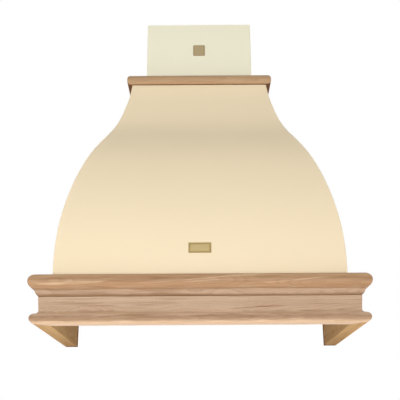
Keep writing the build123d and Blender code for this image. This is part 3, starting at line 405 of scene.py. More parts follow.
def buildBorderGroup():
    # 1 outside a rectangle on an upright plate, about x = 0 and a centre height, and 0 inside it
    values = {"Centre Z": 0.0, "Half Width": 0.02, "Half Height": 0.01}
    net, given, p = newGroup("plateBorder", values, ["Mask"])
    axes = net.add("SeparateXYZ", {0: p}).outputs
    across = net.minus(net.math("ABSOLUTE", axes["X"]), given["Half Width"])
    up = net.math("ABSOLUTE", net.minus(axes["Z"], given["Centre Z"]))
    up = net.minus(up, given["Half Height"])
    return net.close(Mask=net.remap(net.math("MAXIMUM", across, up), -0.0004, 0.0004))


def buildPeelGroup():
    # powder coat: fine rounded lumps about 1.5 mm across, and a very slow drift of tone
    net, given, p = newGroup("powderCoat", {"Colour": srgb(240, 226, 190), "Drift": 0.02})
    slow = net.noise(p, 3.0, 2.0)
    peel = net.noise(p, 700.0, 2.0, 0.45)
    lift = net.times(net.minus(slow, 0.5), given["Drift"])
    colour = net.scaled(given["Colour"], net.plus(lift, 1.0))
    return net.close(Color=colour, Roughness=net.remap(slow, 0.3, 0.7, 0.40, 0.46), Height=peel)


def buildMetalGroup():
    # drawn or rolled metal: fine lines along X, smudges, and zinc spangle where asked for
    values = {"Colour": srgb(190, 192, 194), "Brush": 0.5, "Spangle": 0.0, "Base Roughness": 0.35}
    net, given, p = newGroup("metalSkin", values)
    lines = net.drawn(p, 14.0, 2600.0, 2.0, 0.6)
    smudge = net.noise(p, 9.0, 4.0, 0.6)
    cells = net.add("TexVoronoi", {"Vector": p, "Scale": 130.0}, feature="F1").outputs["Color"]
    cell = net.add("SeparateColor", {0: cells}).outputs[0]
    brush = net.times(net.minus(lines, 0.5), given["Brush"])
    flake = net.times(net.minus(cell, 0.5), given["Spangle"])
    shade = net.plus(net.times(brush, 0.25), net.times(flake, 0.3))
    colour = net.scaled(given["Colour"], net.plus(1.0, shade))
    rough = net.plus(given["Base Roughness"], net.times(flake, 0.25))
    rough = net.plus(rough, net.remap(smudge, 0.35, 0.75, -0.04, 0.10))
    rough = net.timesPlus(brush, 0.2, rough, clamp=True)
    return net.close(Color=colour, Roughness=rough, Height=lines)


def buildMouldedGroup():
    # moulded plastic: fine grain with a little unevenness in tone and gloss
    values = {"Colour": srgb(60, 60, 62), "Grain": 900.0, "Base Roughness": 0.5}
    net, given, p = newGroup("mouldedGrain", values)
    grain = net.noise(p, given["Grain"], 2.0, 0.5)
    cloud = net.noise(p, 18.0, 3.0, 0.5)
    colour = net.scaled(given["Colour"], net.remap(cloud, 0.3, 0.7, 0.94, 1.06))
    rough = net.timesPlus(net.minus(cloud, 0.5), 0.15, given["Base Roughness"])
    return net.close(Color=colour, Roughness=rough, Height=grain)


groups = {
    "beech": buildBeechGroup(),
    "lens": buildLensGroup(),
    "border": buildBorderGroup(),
    "paint": buildPeelGroup(),
    "metal": buildMetalGroup(),
    "moulded": buildMouldedGroup(),
}


def makeMaterial(
    name, kind, skin, turn=0, offset=(0, 0, 0), bump=(0.1, 0.0002), lenses=(), border=(), **more
):
    # object coordinates, turned so that X runs along the grain, go through a group into one Principled
    # shader; each lens multiplies the colour inside it by its tint, and a border the colour outside it
    material = bpy.data.materials.new(name)
    material.use_nodes = True
    net = Net(material.node_tree)
    place = net.add("TexCoord").outputs["Object"]
    mapping = net.add("Mapping", {"Vector": place, "Rotation": (0, 0, np.radians(turn)), "Location": offset})
    skin = net.add("Group", {"Vector": mapping.outputs[0], **skin}, node_tree=groups[kind]).outputs
    colour = skin["Color"]
    # a lens is a grain streak, or a band of painted light and shade
    for x, height, slope, halfLength, halfWidth, strength, tint in lenses:
        z = (height - hood["hang"]) * mm
        mask = net.mask("lens", place, x * mm, z, slope, halfLength * mm, halfWidth * mm, strength)
        colour = net.tinted(mask, colour, tint)
    if border:
        height, halfWidth, halfHeight, tint = border
        mask = net.mask("border", place, (height - hood["hang"]) * mm, halfWidth * mm, halfHeight * mm)
        colour = net.tinted(mask, colour, tint)
    relief = net.add("Bump", {"Height": skin["Height"], "Strength": bump[0], "Distance": bump[1]}).outputs[0]
    sources = {"Base Color": colour, "Roughness": skin["Roughness"], "Normal": relief, **more}
    net.feed(net.tree.nodes["Principled BSDF"].inputs, sources)
    return material


def paintedShadingBands(*rows):
    # bands of painted light and shade along the whole of a board: height, half width, strength and tint
    return [(0, height, 0, 9000, halfWidth, strength, tint) for height, halfWidth, strength, tint in rows]


# light and dark of each board, and how its grain lies; a lens is x, height, slope, half length, half width,
# strength and tint, in mm
pale, brown, umber, rosyPaintedLight = (1.34, 1.50, 1.68), (0.80, 0.72, 0.62), (0.72, 0.60, 0.50), (1.04, 1.17, 1.42)
capTones, baseTones = ((183, 146, 111), (150, 112, 78)), ((196, 168, 141), (163, 129, 100))
underPaintedShadeTones, collarTones = ((202, 166, 120), (171, 130, 88)), ((196, 162, 125), (171, 133, 96))
# painted light and shade on the cap: lighter over the ovolo, the crease and the big round's top, darker on the
# big round's low side, and a painted shadow line over the joint
capPaintedShading = paintedShadingBands(
    (80.5, 14, 0.9, rosyPaintedLight),
    (96, 9, 0.8, (0.88, 0.83, 0.77)),
    (88.7, 3.2, 0.9, (1.03, 1.05, 1.07)),
    (121, 6, 0.9, (1.22, 1.25, 1.27)),
    (129, 9, 0.8, (1.36, 1.42, 1.44)),
    (74, 4.5, 0.8, (0.74, 0.66, 0.56)),
)
# painted light and shade on the base: lighter in the cove, on the fascia and on the underside; darker on the
# nose, partly painted shade and partly a darker stripe of board
basePaintedShading = paintedShadingBands(
    (12, 9, 0.95, (0.74, 0.65, 0.56)),
    (26, 7, 0.85, (1.50, 1.55, 1.57)),
    (40, 7, 0.8, (1.04, 1.03, 1.02)),
    (64, 7, 0.8, (1.08, 1.09, 1.10)),
    (-1, 7, 0.9, (1.26, 1.22, 1.14)),
)
wood = {
    "capFront": {
        "tones": capTones,
        "offset": (0.31, 0.42, 0.25),
        "lenses": capPaintedShading
        + [
            (-340, 104, 0.035, 105, 5.5, 0.9, pale),
            (-290, 112, 0.03, 120, 2.0, 0.6, pale),
            (60, 118, 0.085, 125, 3.2, 0.9, pale),
            (20, 108, 0.06, 70, 2.2, 0.7, pale),
            (252, 108.5, 0.095, 92, 1.9, 1.0, pale),
            (-180, 108, 0.05, 90, 5.0, 0.6, brown),
            (110, 104, 0.05, 110, 4.0, 0.5, brown),
            (380, 114, 0.02, 60, 4.0, 0.4, brown),
        ],
    },
    "capLeft": {"tones": capTones, "offset": (0.9, 0.47, 0.25), "turn": 90, "lenses": capPaintedShading},
    "capRight": {"tones": capTones, "offset": (0.2, -0.40, 0.25), "turn": 90, "lenses": capPaintedShading},
    "baseFront": {
        "tones": baseTones,
        "offset": (0.83, 0.40, 0.36),
        "lenses": basePaintedShading
        + [
            (-315, 53, 0.02, 75, 1.6, 0.9, brown),
            (-260, 47, -0.015, 60, 1.4, 0.7, brown),
            (182, 45, 0.03, 42, 3.2, 1.0, umber),
            (130, 41, 0.07, 60, 2.2, 0.9, umber),
            (330, 50, -0.02, 60, 1.8, 0.7, brown),
            (-175, 20, 0.0, 48, 4.0, 0.9, brown),
            (230, 22, 0.02, 70, 2.4, 0.7, brown),
            (30, 18, 0.03, 60, 2.6, 0.6, brown),
        ],
    },
    "baseLeft": {"tones": baseTones, "offset": (1.4, 0.47, 0.37), "turn": 90, "lenses": basePaintedShading},
    "baseRight": {"tones": baseTones, "offset": (1.9, -0.40, 0.37), "turn": 90, "lenses": basePaintedShading},
    # the arms' faces that look down or in: the same beech in yellower tones without sheen, painted for the
    # light and shade there
    "underLeft": {"tones": underPaintedShadeTones, "offset": (1.4, 0.47, 0.37), "turn": 90, "end": 1.4, "gloss": 0.0},
    "underRight": {"tones": underPaintedShadeTones, "offset": (1.9, -0.40, 0.37), "turn": 90, "end": 1.9, "gloss": 0.0},
    "collarFront": {"tones": collarTones, "offset": (2.3, 0.35, -0.40)},
    "collarLeft": {"tones": collarTones, "offset": (2.9, 0.30, -0.41), "turn": 90},
    "collarRight": {"tones": collarTones, "offset": (3.4, -0.20, -0.43), "turn": 90},
    # painted shade: a dark brown copy of the beech on the collar's faces that look down or in
    "collarPaintedShade": {
        "tones": ((128, 92, 68), (100, 72, 53)),
        "offset": (3.4, -0.20, -0.43),
        "turn": 90,
        "gloss": 0.0,
    },
    "blocks": {"tones": ((214, 182, 146), (182, 144, 106)), "offset": (0.2, 0.1, 0.3)},
}
# screen colour, brush marks, zinc spangle and roughness of each metal, and what else it needs; a border is
# the plate's centre height and half sizes, in mm, and its tint
metals = {
    "brass": ((163, 145, 104), 0.8, 0.0, 0.42, {"border": (209.5, 25.5, 9.3, (0.75, 0.70, 0.57))}),
    "agedBrass": ((166, 149, 114), 0.8, 0.0, 0.45, {"border": (943.5, 15.6, 15.9, (0.84, 0.82, 0.80))}),
    "galvanised": ((164, 168, 172), 0.1, 0.4, 0.52, {}),
    "stainless": ((196, 195, 193), 1.0, 0.0, 0.30, {}),
    "aluminium": ((212, 212, 210), 0.7, 0.0, 0.34, {"turn": 90}),
    "meshAluminium": ((218, 218, 216), 0.2, 0.0, 0.30, {}),
    "meshCore": ((112, 112, 110), 1.0, 0.8, 0.50, {"bump": (0.8, 0.0006)}),
    "zinc": ((198, 198, 190), 0.2, 0.0, 0.28, {}),
    "chrome": ((225, 226, 228), 0.05, 0.0, 0.10, {}),
}
# screen colour and roughness
plastics = {
    "darkPlastic": ((58, 58, 60), 0.52),
    "controlPlastic": ((64, 52, 42), 0.42),
    "buttonPlastic": ((236, 226, 200), 0.30),
    "iconInk": ((70, 58, 48), 0.45),
    "boxPlastic": ((176, 176, 172), 0.55),
    "glandPlastic": ((34, 34, 34), 0.40),
    "motorPaint": ((30, 30, 33), 0.35),
}
paints = {"creamPaint": (245, 227, 193), "ivoryPaint": (247, 243, 217)}


def woodMaterial(name, tones, offset, turn=0, lenses=(), end=noEnd, gloss=0.3):
    light, dark = tones
    skin = {"Light": srgb(*light), "Dark": srgb(*dark), "End": end}
    looks = {"Specular IOR Level": gloss}
    return makeMaterial(name + "Beech", "beech", skin, turn, offset, (0.22, 0.0003), lenses, **looks)


materials = {name: woodMaterial(name, **board) for name, board in wood.items()}
for name, colour in paints.items():
    how = {"bump": (0.04, 0.0002), "Specular IOR Level": 0.3}
    materials[name] = makeMaterial(name, "paint", {"Colour": srgb(*colour)}, **how)
for name, (colour, brush, spangle, roughness, extra) in metals.items():
    skin = {"Colour": srgb(*colour), "Brush": brush, "Spangle": spangle, "Base Roughness": roughness}
    materials[name] = makeMaterial(name, "metal", skin, Metallic=1.0, **extra)
for name, (colour, roughness) in plastics.items():
    materials[name] = makeMaterial(name, "moulded", {"Colour": srgb(*colour), "Base Roughness": roughness})
materials["frostedGlass"] = makeMaterial(
    "frostedGlass", "moulded", {"Colour": srgb(238, 242, 240), "Base Roughness": 0.22}, bump=(0.15, 0.0002),
    **{"Transmission Weight": 0.75, "IOR": 1.5},
)
print("materials:", len(materials))

rail = {
    "capBack": 397.0,
    "capNose": 20.5,
    "joint": 71.5,
    "fascia": 423.5,
    "fasciaLean": 1.3,  # how far it leans out at the joint and in at the cove
    "step": (432.5, 90.9),
    "ovolo": (0.6, 0.4, 3.3),  # how far it starts outside the fascia, ends inside the step, and bulges
    "top": 130.0,
    "quirk": (1.9, 1.1),  # depth and height of the groove over the joint
    "upperQuirk": (2.6, 1.1),  # and of the one under the big round
    "baseNose": 13.5,
    "baseNoseCentre": 428.5,
    "cove": (433.0, 35.73),
    "coveRadius": 9.5,
    "easing": 0.4,
}


def capProfile():
    # foot, groove, ovolo, upper groove, big round, top and back, as one closed loop
    depth, rise = rail["quirk"]
    stepIn, stepRise = rail["upperQuirk"]
    centre, centreHeight = hood["railHalf"] - rail["capNose"], rail["top"] - rail["capNose"]
    stepHalf, stepHeight = rail["step"]
    lip = (stepHalf, stepHeight + stepRise)
    start = np.degrees(np.arctan2(lip[1] - centreHeight, lip[0] - centre))
    foot, fascia = rail["joint"], rail["fascia"]
    startOut, endIn, swell = rail["ovolo"]
    return np.vstack(
        [
            [(rail["capBack"], foot), (fascia - depth, foot), (fascia - depth, foot + rise)],
            bulge((fascia + startOut, foot + rise), (stepHalf - endIn, stepHeight), swell, count=10),
            [(stepHalf - stepIn, stepHeight), (stepHalf - stepIn, stepHeight + stepRise)],
            arc((centre, centreHeight), rail["capNose"], start, 90, count=24),
            [(rail["capBack"], rail["top"])],
        ]
    )


def baseProfile():
    # underside, nose, cove, fascia and back
    nose = (rail["baseNoseCentre"], rail["baseNose"])
    (coveHalf, coveHeight), radius = rail["cove"], rail["coveRadius"]
    end = np.degrees(np.arctan2(coveHeight - radius - nose[1], coveHalf - nose[0]))
    cove = arc(rail["cove"], radius, 270, 180, count=10)
    cove[:, 0] = coveHalf + (cove[:, 0] - coveHalf) * (1 + rail["fasciaLean"] / radius)
    return np.vstack(
        [
            [(hood["innerHalf"], 0)],
            arc(nose, rail["baseNose"], -90, end, count=18),
            cove[1:],
            [(rail["fascia"] + rail["fasciaLean"], rail["joint"]), (hood["innerHalf"], rail["joint"])],
        ]
    )


for side in memberSides:
    end, finish = side.capitalize(), ("beech", rail["easing"])
    # on the arms, the base's faces that look down or in take painted light and shade
    under = [materials["under" + end]] if side != "front" else []
    capLooks, baseLooks = [materials["cap" + end]], [materials["base" + end]] + under
    memberPiece(f"{side}Cap", f"{side}_cap_moulding", capProfile(), side, capLooks, *finish)
    memberPiece(f"{side}Base", f"{side}_base_moulding", baseProfile(), side, baseLooks, *finish)
print("rail built")

collar = {
    "foot": 794.0,
    "height": 31.0,
    "half": 229.5,
    "back": 214.9,
    "inner": 174.0,
    "plateTop": 817.5,
    "lower": (8.0, 7.5, 1.6),  # width and height of the lower rounding, and how far it bulges
    "upper": (9.0, 14.0, 2.0),
    "armTilt": 0.5,  # on the arms the lower rounding counts as underside too
    "easing": 0.4,
}


def collarProfile():
    # foot, lower rounding, face, upper rounding, top, and the step that sits on the neck plate
    half, inner, back = collar["half"], collar["inner"], collar["back"]
    foot, top, plateTop = collar["foot"], collar["foot"] + collar["height"], collar["plateTop"]
    (lowerIn, lowerUp, lowerRise), (upperIn, upperDown, upperRise) = collar["lower"], collar["upper"]
    return np.vstack(
        [
            [(back, foot)],
            bulge((half - lowerIn, foot), (half, foot + lowerUp), lowerRise, count=9),
            bulge((half, top - upperDown), (half - upperIn, top), upperRise, count=11),
            [(inner, top), (inner, plateTop), (back, plateTop)],
        ]
    )


for side in memberSides:
    # faces that look down or in, and on the arms the lower rounding too, take the painted shade
    looks = [materials["collar" + side.capitalize()], materials["collarPaintedShade"]]
    finish = ("beech", collar["easing"], levelTilt if side == "front" else collar["armTilt"])
    memberPiece(f"{side}Collar", f"collar_{side}", collarProfile(), side, looks, *finish)
print("collar built")

canopy = {
    "sheet": 1.0,
    "flange": 15.0,
    "gap": 1.5,  # between a side panel and the wall
    "cornerRadius": 3.0,
    "cornerSteps": 5,
    "rows": 60,
    "easing": 0.25,
    # height, reach below and above, and rise
    "swells": ((515.0, 90.0, 60.0, 1.95), (700.0, 45.0, 40.0, 1.5), (816.0, 55.0, 55.0, -3.4)),
    "backEasing": 0.2,
    "backReach": 0.5,  # a point of the back panel this near the curve is on its edge
}


def bellArcs():
    # two arcs tangent to each other and upright at both ends: r1 + r2 = rise / sin(turn), with
    # turn = 2 atan(run / rise); gives the turn and the radii of belly and hollow
    rise = hood["neckHeight"] - hood["bendStart"]
    turn = 2 * np.arctan((hood["canopyHalf"] - hood["neckHalf"]) / rise)
    total = rise / np.sin(turn)
    belly = hood["bellyShare"] * total
    return turn, belly, total - belly


def bellCurve(inset, swells):
    # belly and hollow as (half width, height); an inset shrinks the belly's radius and grows the hollow's.
    # Each swell then lifts the curve off itself by its rise * exp(-(dh / reach)^2), which makes the bend
    # between them tighter and the neck narrower
    turn, belly, hollow = bellArcs()
    degrees, rows = np.degrees(turn), canopy["rows"]
    lower = arc((hood["canopyHalf"] - belly, hood["bendStart"]), belly - inset, 0, degrees, rows)
    upper = arc((hood["neckHalf"] + hollow, hood["neckHeight"]), hollow + inset, 180 + degrees, 180, rows)
    curve = np.vstack([lower, upper[1:]])
    along = unit(np.gradient(curve, axis=0))
    outward = np.stack([along[:, 1], -along[:, 0]], 1)
    for height, below, above, lift in swells:
        away = curve[:, 1] - height
        curve = curve + outward * (lift * np.exp(-((away / np.where(away > 0, above, below)) ** 2)))[:, None]
    return np.vstack([[(hood["canopyHalf"] - inset, rail["joint"])], curve])


def canopyProfile():
    # outer skin up, the neck's flange, and the inner skin down
    outer, inner = (bellCurve(inset, canopy["swells"]) for inset in (0, canopy["sheet"]))
    neck = outer[-1, 0]
    flangeIn = neck - canopy["sheet"] / 2 - canopy["flange"]
    under = hood["neckHeight"] - canopy["sheet"]
    flange = [(flangeIn, hood["neckHeight"]), (flangeIn, under), (neck - canopy["sheet"], under)]
    return np.vstack([outer, flange, inner[inner[:, 1] < under][::-1]])


for side in memberSides:
    how = {"gap": canopy["gap"], "corner": canopy["cornerRadius"], "cornerSteps": canopy["cornerSteps"]}
    looks, finish = [materials["creamPaint"]], ("canopy_paint", canopy["easing"])
    memberPiece(f"{side}Canopy", f"canopy_{side}_panel", canopyProfile(), side, looks, *finish, **how)


def fitBackPanel():
    # the back panel's own surface, with its curved edges moved on to the canopy's curve
    look = materials["galvanised"]
    mesh = easedCopy("backPanel", "back_panel", "hood", look, canopy["backEasing"]).data
    places = np.empty(len(mesh.vertices) * 3)
    mesh.vertices.foreach_get("co", places)
    places = places.reshape(-1, 3)
    heights = places[:, 2] / mm + hood["hang"]
    curves = (bellCurve(0, swells) for swells in ((), canopy["swells"]))
    drawn, wanted = (np.interp(heights, curve[:, 1], curve[:, 0]) * mm for curve in curves)
    onEdge = np.abs(np.abs(places[:, 0]) - drawn) < canopy["backReach"] * mm
    places[:, 0] = np.where(onEdge, np.sign(places[:, 0]) * wanted, places[:, 0])
    mesh.vertices.foreach_set("co", places.ravel())
    mesh.update()


fitBackPanel()
print("canopy built")

filters = {
    "centre": (195.0, -182.5),  # of the window, left and right of the middle
    "window": (355.4, 295.4),  # with the edges that the frame grips
    "level": 79.0,
    "pleats": 22,
    "pleatHeight": 2.1,
    "strandPitch": 3.5,
    "strand": (1.1, 0.5),  # width and thickness
    "layers": (-0.55, 0.75),  # the two sheets' heights off the middle
    "lap": 0.35,  # share of its width by which a strand leans on its neighbour
    "coreThickness": 0.5,
    "coreLift": 0.1,
    "sharpAngle": 20.0,  # edges beyond this stay sharp on strands and core
    "frameEasing": 0.8,
}


def pleatHeight(step):
    # four steps to a pleat: down, level, up, level
    return np.array([-1.0, 0.0, 1.0, 0.0])[step % 4] * filters["pleatHeight"]


def expandedSheet(centreX, lift, shift):
    # Strand k of a slit and stretched sheet zigzags along X between y = k P and (k + 1) P, its neighbours the
    # other way round, so that they touch at every second step and leave diamonds; each is a flat strip.
    width, depth = filters["window"]
    steps = 4 * filters["pleats"] + 1
    strands = int(depth / filters["strandPitch"])
    i, k = np.meshgrid(np.arange(steps), np.arange(strands), indexing="xy")
    x = centreX + width * (i / (steps - 1) - 0.5)
    rise = (i + k + shift) % 2
    pitch = depth / strands
    y = filters["centre"][1] - depth / 2 + (k + rise) * pitch
    y = y + np.where(rise == 1, -1, 1) * filters["strand"][0] * filters["lap"]
    z = filters["level"] - hood["hang"] + pleatHeight(i) + lift
    half, thick = filters["strand"][0] / 2, filters["strand"][1] / 2
    corners = np.array([(-half, -thick), (half, -thick), (half, thick), (-half, thick)])
    x, y, z = (a[:, :, None] + b for a, b in ((x, 0 * corners[:, 0]), (y, corners[:, 0]), (z, corners[:, 1])))
    grid = np.stack([x, y, z], 3)
    strip = gridFaces(steps, 4, closeCols=True)
    ends = np.array([[0, 1, 2, 3], [(steps - 1) * 4 + v for v in (3, 2, 1, 0)]])
    faces = (np.vstack([strip, ends])[None] + (np.arange(strands) * steps * 4)[:, None, None]).reshape(-1, 4)
    return grid.reshape(-1, 3), faces.tolist()


def pleatedCore(centreX):
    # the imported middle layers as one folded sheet: height = pleat(x) on both faces, half the thickness apart
    width, depth = filters["window"]
    steps = 4 * filters["pleats"] + 1
    i = np.arange(steps)
    x = centreX + width * (i / (steps - 1) - 0.5)
    z = filters["level"] - hood["hang"] + pleatHeight(i) + filters["coreLift"]
    half = filters["coreThickness"] / 2
    loop = np.vstack([np.stack([x, z - half], 1), np.stack([x, z + half], 1)[::-1]])
    ys = filters["centre"][1] + np.array([-depth / 2, depth / 2])
    grid = np.stack([loop[:, :1] + 0 * ys, ys[None, :] + 0 * loop[:, :1], loop[:, 1:] + 0 * ys], 2)
    return grid.reshape(-1, 3), tubeFaces(len(loop), 2)


for side, sign in (("Left", -1), ("Right", 1)):
    low, body = side.lower(), "filter_" + side.lower()
    centreX = sign * filters["centre"][0]
    layers = [expandedSheet(centreX, lift, n) for n, lift in enumerate(filters["layers"])]
    strands, slot, pleatAngle = materials["meshAluminium"], "mesh_aluminium", filters["sharpAngle"]
    meshNode = f"filter_mesh_{low}"
    makePiece(f"filterStrands{side}", *joinParts(layers), strands, body, slot, [meshNode], angle=pleatAngle)
    makePiece(f"filterCore{side}", *pleatedCore(centreX), materials["meshCore"], body, slot, angle=pleatAngle)
    rim, easing = materials["aluminium"], filters["frameEasing"]
    easedCopy(f"filterFrame{side}", f"filter_frame_{low}", body, rim, easing)
print("filters built")

lamps = {
    "centre": (290.0, -398.95),
    "lensRadius": 29.0,
    "lensFoot": 74.0,
    "lensThickness": 2.3,
    "ribPitch": 2.4,
    "ribHeight": 0.35,
    "plainRim": 2.5,
    "canTop": 100.5,
    "bowlRadius": 28.2,
    "bowlFoot": 78.5,
    "bowlThickness": 0.5,
    "bulb": (7.0, 88.0, 5.0, 99.6),  # radius, shoulder height, depth of the dome under it, and top
    "steps": 64,
    "bulbSteps": 40,
}


def lensProfile():
    # underside h = foot + rib height * (1 - cos(2 pi r / pitch)) / 2, with a plain rim; flat top
    r = np.linspace(0, lamps["lensRadius"], num=97)
    rib = lamps["ribHeight"] * (1 - np.cos(2 * np.pi * r / lamps["ribPitch"])) / 2
    rib = np.where(r > lamps["lensRadius"] - lamps["plainRim"], 0, rib)
    top = lamps["lensFoot"] + lamps["lensThickness"]
    return np.vstack([np.stack([r, lamps["lensFoot"] + rib], 1), [(lamps["lensRadius"], top), (0, top)]])


def reflectorProfile():
    # a thin bowl, open below: h = top - depth * (r / bowl radius)^2
    r = np.linspace(lamps["bowlRadius"], 0, num=30)
    h = lamps["canTop"] - (lamps["canTop"] - lamps["bowlFoot"]) * (r / lamps["bowlRadius"]) ** 2
    inner = np.stack([r, h], 1)
    return np.vstack([inner, inner[::-1] + np.array([(0, lamps["bowlThickness"])])])


def bulbProfile():
    # a cylinder over a half ellipse: r = radius sin a, h = shoulder - dome cos a
    radius, shoulder, dome, top = lamps["bulb"]
    a = np.linspace(0, np.pi / 2, num=14)
    tip = np.stack([radius * np.sin(a), shoulder - dome * np.cos(a)], 1)
    return np.vstack([tip, [(radius, top), (0, top)]])


for side, sign in (("Left", -1), ("Right", 1)):
    centre = (sign * lamps["centre"][0], lamps["centre"][1])
    lens, bowl = (lathe(profile(), centre, lamps["steps"]) for profile in (lensProfile, reflectorProfile))
    bulb = lathe(bulbProfile(), centre, lamps["bulbSteps"])
    lensNode = f"lamp_lens_{side.lower()}"
    makePiece(f"lampLens{side}", *lens, materials["frostedGlass"], "hood", "lamp_glass", [lensNode])
    makePiece(f"lampReflector{side}", *bowl, materials["chrome"], "hood", "lamp_metal")
    makePiece(f"lampBulb{side}", *bulb, materials["buttonPlastic"], "hood", "lamp_glass")
print("lamps built")

controls = {
    "row": -398.95,
    "pitch": 22.0,
    "face": 68.0,  # the buttons' faces above the rail's underside
    "line": (0.9, 0.16),  # width and height of the raised signs
    "signs": ("light", "off", "low_speed", "middle_speed", "high_speed"),
    "lamp": (1.5, 2.5, 3.7, 8),  # radii of the ring and of the rays' two ends, and how many rays
    "offRing": (2.9, 125, 415),  # radius, and where it starts and ends in degrees
    "offBar": (0.4, 3.6),
    "bar": (2.2, 2.6),  # pitch and half length
    "easing": 0.6,
}


def signPaths(sign):
    # flat lines, each with whether it closes: a ray-ringed lamp, a gapped ring with a bar, or 1 to 3 bars
    if sign == "light":
        ring, start, end, count = controls["lamp"]
        rays = np.radians(np.arange(count) * 360 / count)
        inner, outer = (np.stack([r * np.cos(rays), r * np.sin(rays)], 1) for r in (start, end))
        ring = arc((0, 0), ring, 0, 345, count=24)
        return [(ring, True)] + [(np.array(ray), False) for ray in zip(inner, outer)]
    if sign == "off":
        radius, start, end = controls["offRing"]
        bar = np.array([(0, v) for v in controls["offBar"]])
        return [(arc((0, 0), radius, start, end, count=36), False), (bar, False)]
    bars = {"low_speed": 1, "middle_speed": 2, "high_speed": 3}[sign]
    pitch, half = controls["bar"]
    xs = (np.arange(bars) - (bars - 1) / 2) * pitch
    return [(np.array([(x, -half), (x, half)]), False) for x in xs]


middle = len(controls["signs"]) // 2
for index, sign in enumerate(controls["signs"]):
    parts = []
    for path, closed in signPaths(sign):
        points, faces = stroke(path, *controls["line"], closed)
        x = points[:, 0] + (index - middle) * controls["pitch"]
        z = controls["face"] - hood["hang"] - points[:, 2]
        parts.append((np.stack([x, controls["row"] + points[:, 1], z], 1), faces))
    name = "".join(w.capitalize() for w in sign.split("_"))
    makePiece(f"sign{name}", *joinParts(parts), materials["iconInk"], f"{sign}_button", "button_plastic")
look = materials["controlPlastic"]
easedCopy("controlPanel", "control_panel", "hood", look, controls["easing"])
print("controls built")

badges = {
    "canopy": {"size": (53.0, 20.0), "height": 209.5},
    "chimney": {"size": (30.0, 30.5), "height": 943.5, "front": 222.0},
    "thickness": 0.85,
    "cornerRadius": 2.0,
    "line": (0.8, 0.35),  # width and height
}


def badgeLine(kind):
    # a raised line inside the rim: on the belly's circle for the canopy's bent plate, flat for the chimney's
    badge = badges[kind]
    points, faces = stroke(roundedRectangle(*badge["size"], badges["cornerRadius"]), *badges["line"], True)
    h = points[:, 1] + badge["height"]
    lift = badges["thickness"] + points[:, 2]
    if kind == "canopy":
        belly = bellArcs()[1]
        skin = np.sqrt((belly + lift) ** 2 - (h - hood["bendStart"]) ** 2)
        y = -(skin + hood["canopyHalf"] - belly + hood["depthOffset"])
    else:
        y = -(badge["front"] + lift)
    return np.stack([points[:, 0], y, h - hood["hang"]], 1), faces


makePiece("canopyBadgeLine", *badgeLine("canopy"), materials["brass"], "hood", "badge_brass")
makePiece("chimneyBadgeLine", *badgeLine("chimney"), materials["agedBrass"], "chimney", "badge_bronze")
print("badges built")

# the CAD pieces that keep their shape, by look
finishes = {
    "blocks": "corner_blocks",
    "zinc": "rail_screws tray_screws collar_screws chimney_screws fan_screws"
    " filter_bolt_left filter_bolt_right fan_shaft",
    "galvanised": "hanging_bars neck_frame chimney_wall_bracket fan_cradle motor_spider",
    "ivoryPaint": "chimney_cover",
    "stainless": "bottom_tray",
    "aluminium": "chimney_guides lamp_can_left lamp_can_right fan_wheel fan_blades",
    "chrome": "lamp_bezel_left lamp_bezel_right",
    "controlPlastic": "switch_block",
    "buttonPlastic": "light_button off_button low_speed_button middle_speed_button high_speed_button",
    "darkPlastic": "fan_left_shell fan_right_shell fan_outlet rear_flap front_flap",
    "motorPaint": "motor",
    "boxPlastic": "electric_box electric_box_lid",
    "glandPlastic": "cable_gland",
    "brass": "canopy_badge",
    "agedBrass": "chimney_badge",
}
for finish, names in finishes.items():
    for name in names.split():
        mesh = nodes[name].data
        mesh.materials.clear()
        mesh.materials.append(materials[finish])
print("finishes on the CAD pieces:", sum(len(n.split()) for n in finishes.values()))

studio = {
    "eye": (0.0044, -2.3675, -0.653),
    "pitch": 18.39,
    "yaw": -0.10,
    "roll": -0.307,
    "lens": 65.68,
    "sensor": 36.0,
    "floor": -1.9,
    "floorRadius": 8.0,
    "floorSteps": 64,
    "floorTones": ((228, 226, 222), (234, 232, 229)),
    "floorRoughness": 0.85,
    "floorLift": 0.5,
    "floorFade": (2.0, 4.2),  # metres from the middle over which the seen floor turns white
    "ambient": 0.18,
    # power, size, place and what it is aimed at
    "softboxes": {
        "left": (55.0, 2.0, (-3.2, -2.8, -0.4), (0.0, -0.3, 0.0)),
        "right": (34.0, 2.0, (3.2, -2.8, -0.4), (0.0, -0.3, 0.0)),
        "level": (42.5, 1.5, (0.0, -3.4, -0.5), (0.0, -0.3, 0.0)),
        "below": (12.0, 0.8, (0.0, -0.55, -1.7), (0.0, -0.45, 0.0)),
        "leftEnd": (32.0, 2.0, (-3.6, 0.9, 0.0), (0.0, -0.2, 0.0)),
        "rightEnd": (32.0, 2.0, (3.6, 0.9, 0.0), (0.0, -0.2, 0.0)),
        "back": (40.0, 3.0, (0.0, 3.4, 0.2), (0.0, 0.0, 0.1)),
    },
}


def standAt(thing, right, up, back, at):
    matrix = np.eye(4)
    matrix[:3] = np.column_stack([right, up, back, at])
    thing.matrix_world = Matrix(matrix.tolist())


def placeCamera():
    # right, up and backward axes of a camera at pitch, yaw and roll
    pitch, yaw, roll = (np.radians(studio[k]) for k in ("pitch", "yaw", "roll"))
    forward = np.array([np.sin(yaw) * np.cos(pitch), np.cos(yaw) * np.cos(pitch), np.sin(pitch)])
    right = np.array([np.cos(yaw), -np.sin(yaw), 0.0])
    up = np.cross(right, forward)
    rolledRight = right * np.cos(roll) + up * np.sin(roll)
    rolledUp = up * np.cos(roll) - right * np.sin(roll)
    data = bpy.data.cameras.new("camera")
    data.lens = studio["lens"]
    data.sensor_width = studio["sensor"]
    camera = addObject("camera", data)
    standAt(camera, rolledRight, rolledUp, -forward, studio["eye"])
    bpy.context.scene.camera = camera


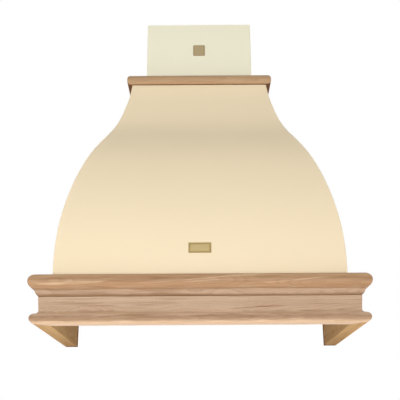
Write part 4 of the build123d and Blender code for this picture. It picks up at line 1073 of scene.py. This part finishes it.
def placeSoftbox(name, power, size, at, aim):
    data = bpy.data.lights.new(name, "AREA")
    data.energy = power
    data.size = size
    lamp = addObject(name, data)
    back = unit(np.array(at) - np.array(aim))
    side = unit(np.cross((0, 0, 1), back))
    standAt(lamp, side, np.cross(back, side), back, at)
    lamp.visible_camera = False


def seenRay(net):
    # 1 for what the camera sees, straight or in mirrors and glass
    path = net.add("LightPath").outputs
    seen = net.math("MAXIMUM", path["Is Camera Ray"], path["Is Glossy Ray"])
    return net.math("MAXIMUM", seen, path["Is Transmission Ray"])


def paintWorld():
    # white where it is seen, and a plain grey level as light
    world = bpy.data.worlds.new("studio")
    world.use_nodes = True
    bpy.context.scene.world = world
    net = Net(world.node_tree)
    level = net.plus(net.times(seenRay(net), 1.0 - studio["ambient"]), studio["ambient"])
    net.feed(net.tree.nodes["Background"].inputs, {"Color": (1, 1, 1, 1), "Strength": level})


def layFloor():
    # a flat disc that is seen a little lighter than it is lit and fading to white outwards, and that is clear
    # from underneath
    turns = np.linspace(0, 2 * np.pi, studio["floorSteps"], endpoint=False)
    x, y = studio["floorRadius"] * np.cos(turns), studio["floorRadius"] * np.sin(turns)
    mesh = bpy.data.meshes.new("floor")
    ring = np.stack([x, y, np.full(len(turns), studio["floor"])], 1)
    mesh.from_pydata(ring.tolist(), [], [list(range(len(turns)))])
    material = bpy.data.materials.new("floor")
    material.use_nodes = True
    net = Net(material.node_tree)
    shader = net.tree.nodes["Principled BSDF"]
    place = net.add("TexCoord").outputs["Object"]
    dark, light = (srgb(*tone) for tone in studio["floorTones"])
    speckled = net.mix(net.noise(place, 40.0, 3.0), dark, light)
    net.feed(shader.inputs, {"Base Color": speckled, "Roughness": studio["floorRoughness"]})
    seen = seenRay(net)
    lift = net.times(seen, studio["floorLift"])
    lights = (net.add("Emission", {"Color": (1, 1, 1, 1), "Strength": power}) for power in (lift, 1.0))
    glow, white = (light.outputs[0] for light in lights)
    lit = net.add("AddShader", {0: shader.outputs[0], 1: glow}).outputs[0]
    away = net.add("VectorMath", {0: place}, operation="LENGTH").outputs["Value"]
    fade = net.times(net.remap(away, *studio["floorFade"]), seen)
    faded = net.add("MixShader", {0: fade, 1: lit, 2: white}).outputs[0]
    under = net.add("NewGeometry").outputs["Backfacing"]
    clear = net.add("BsdfTransparent").outputs[0]
    final = net.add("MixShader", {0: under, 1: faded, 2: clear}).outputs[0]
    net.feed(net.tree.nodes["Material Output"].inputs, {"Surface": final})
    mesh.materials.append(material)
    addObject("floor", mesh)


placeCamera()
paintWorld()
layFloor()
for name, values in studio["softboxes"].items():
    placeSoftbox(name + "Softbox", *values)
bpy.context.scene.view_settings.view_transform = "Standard"
print("studio ready")
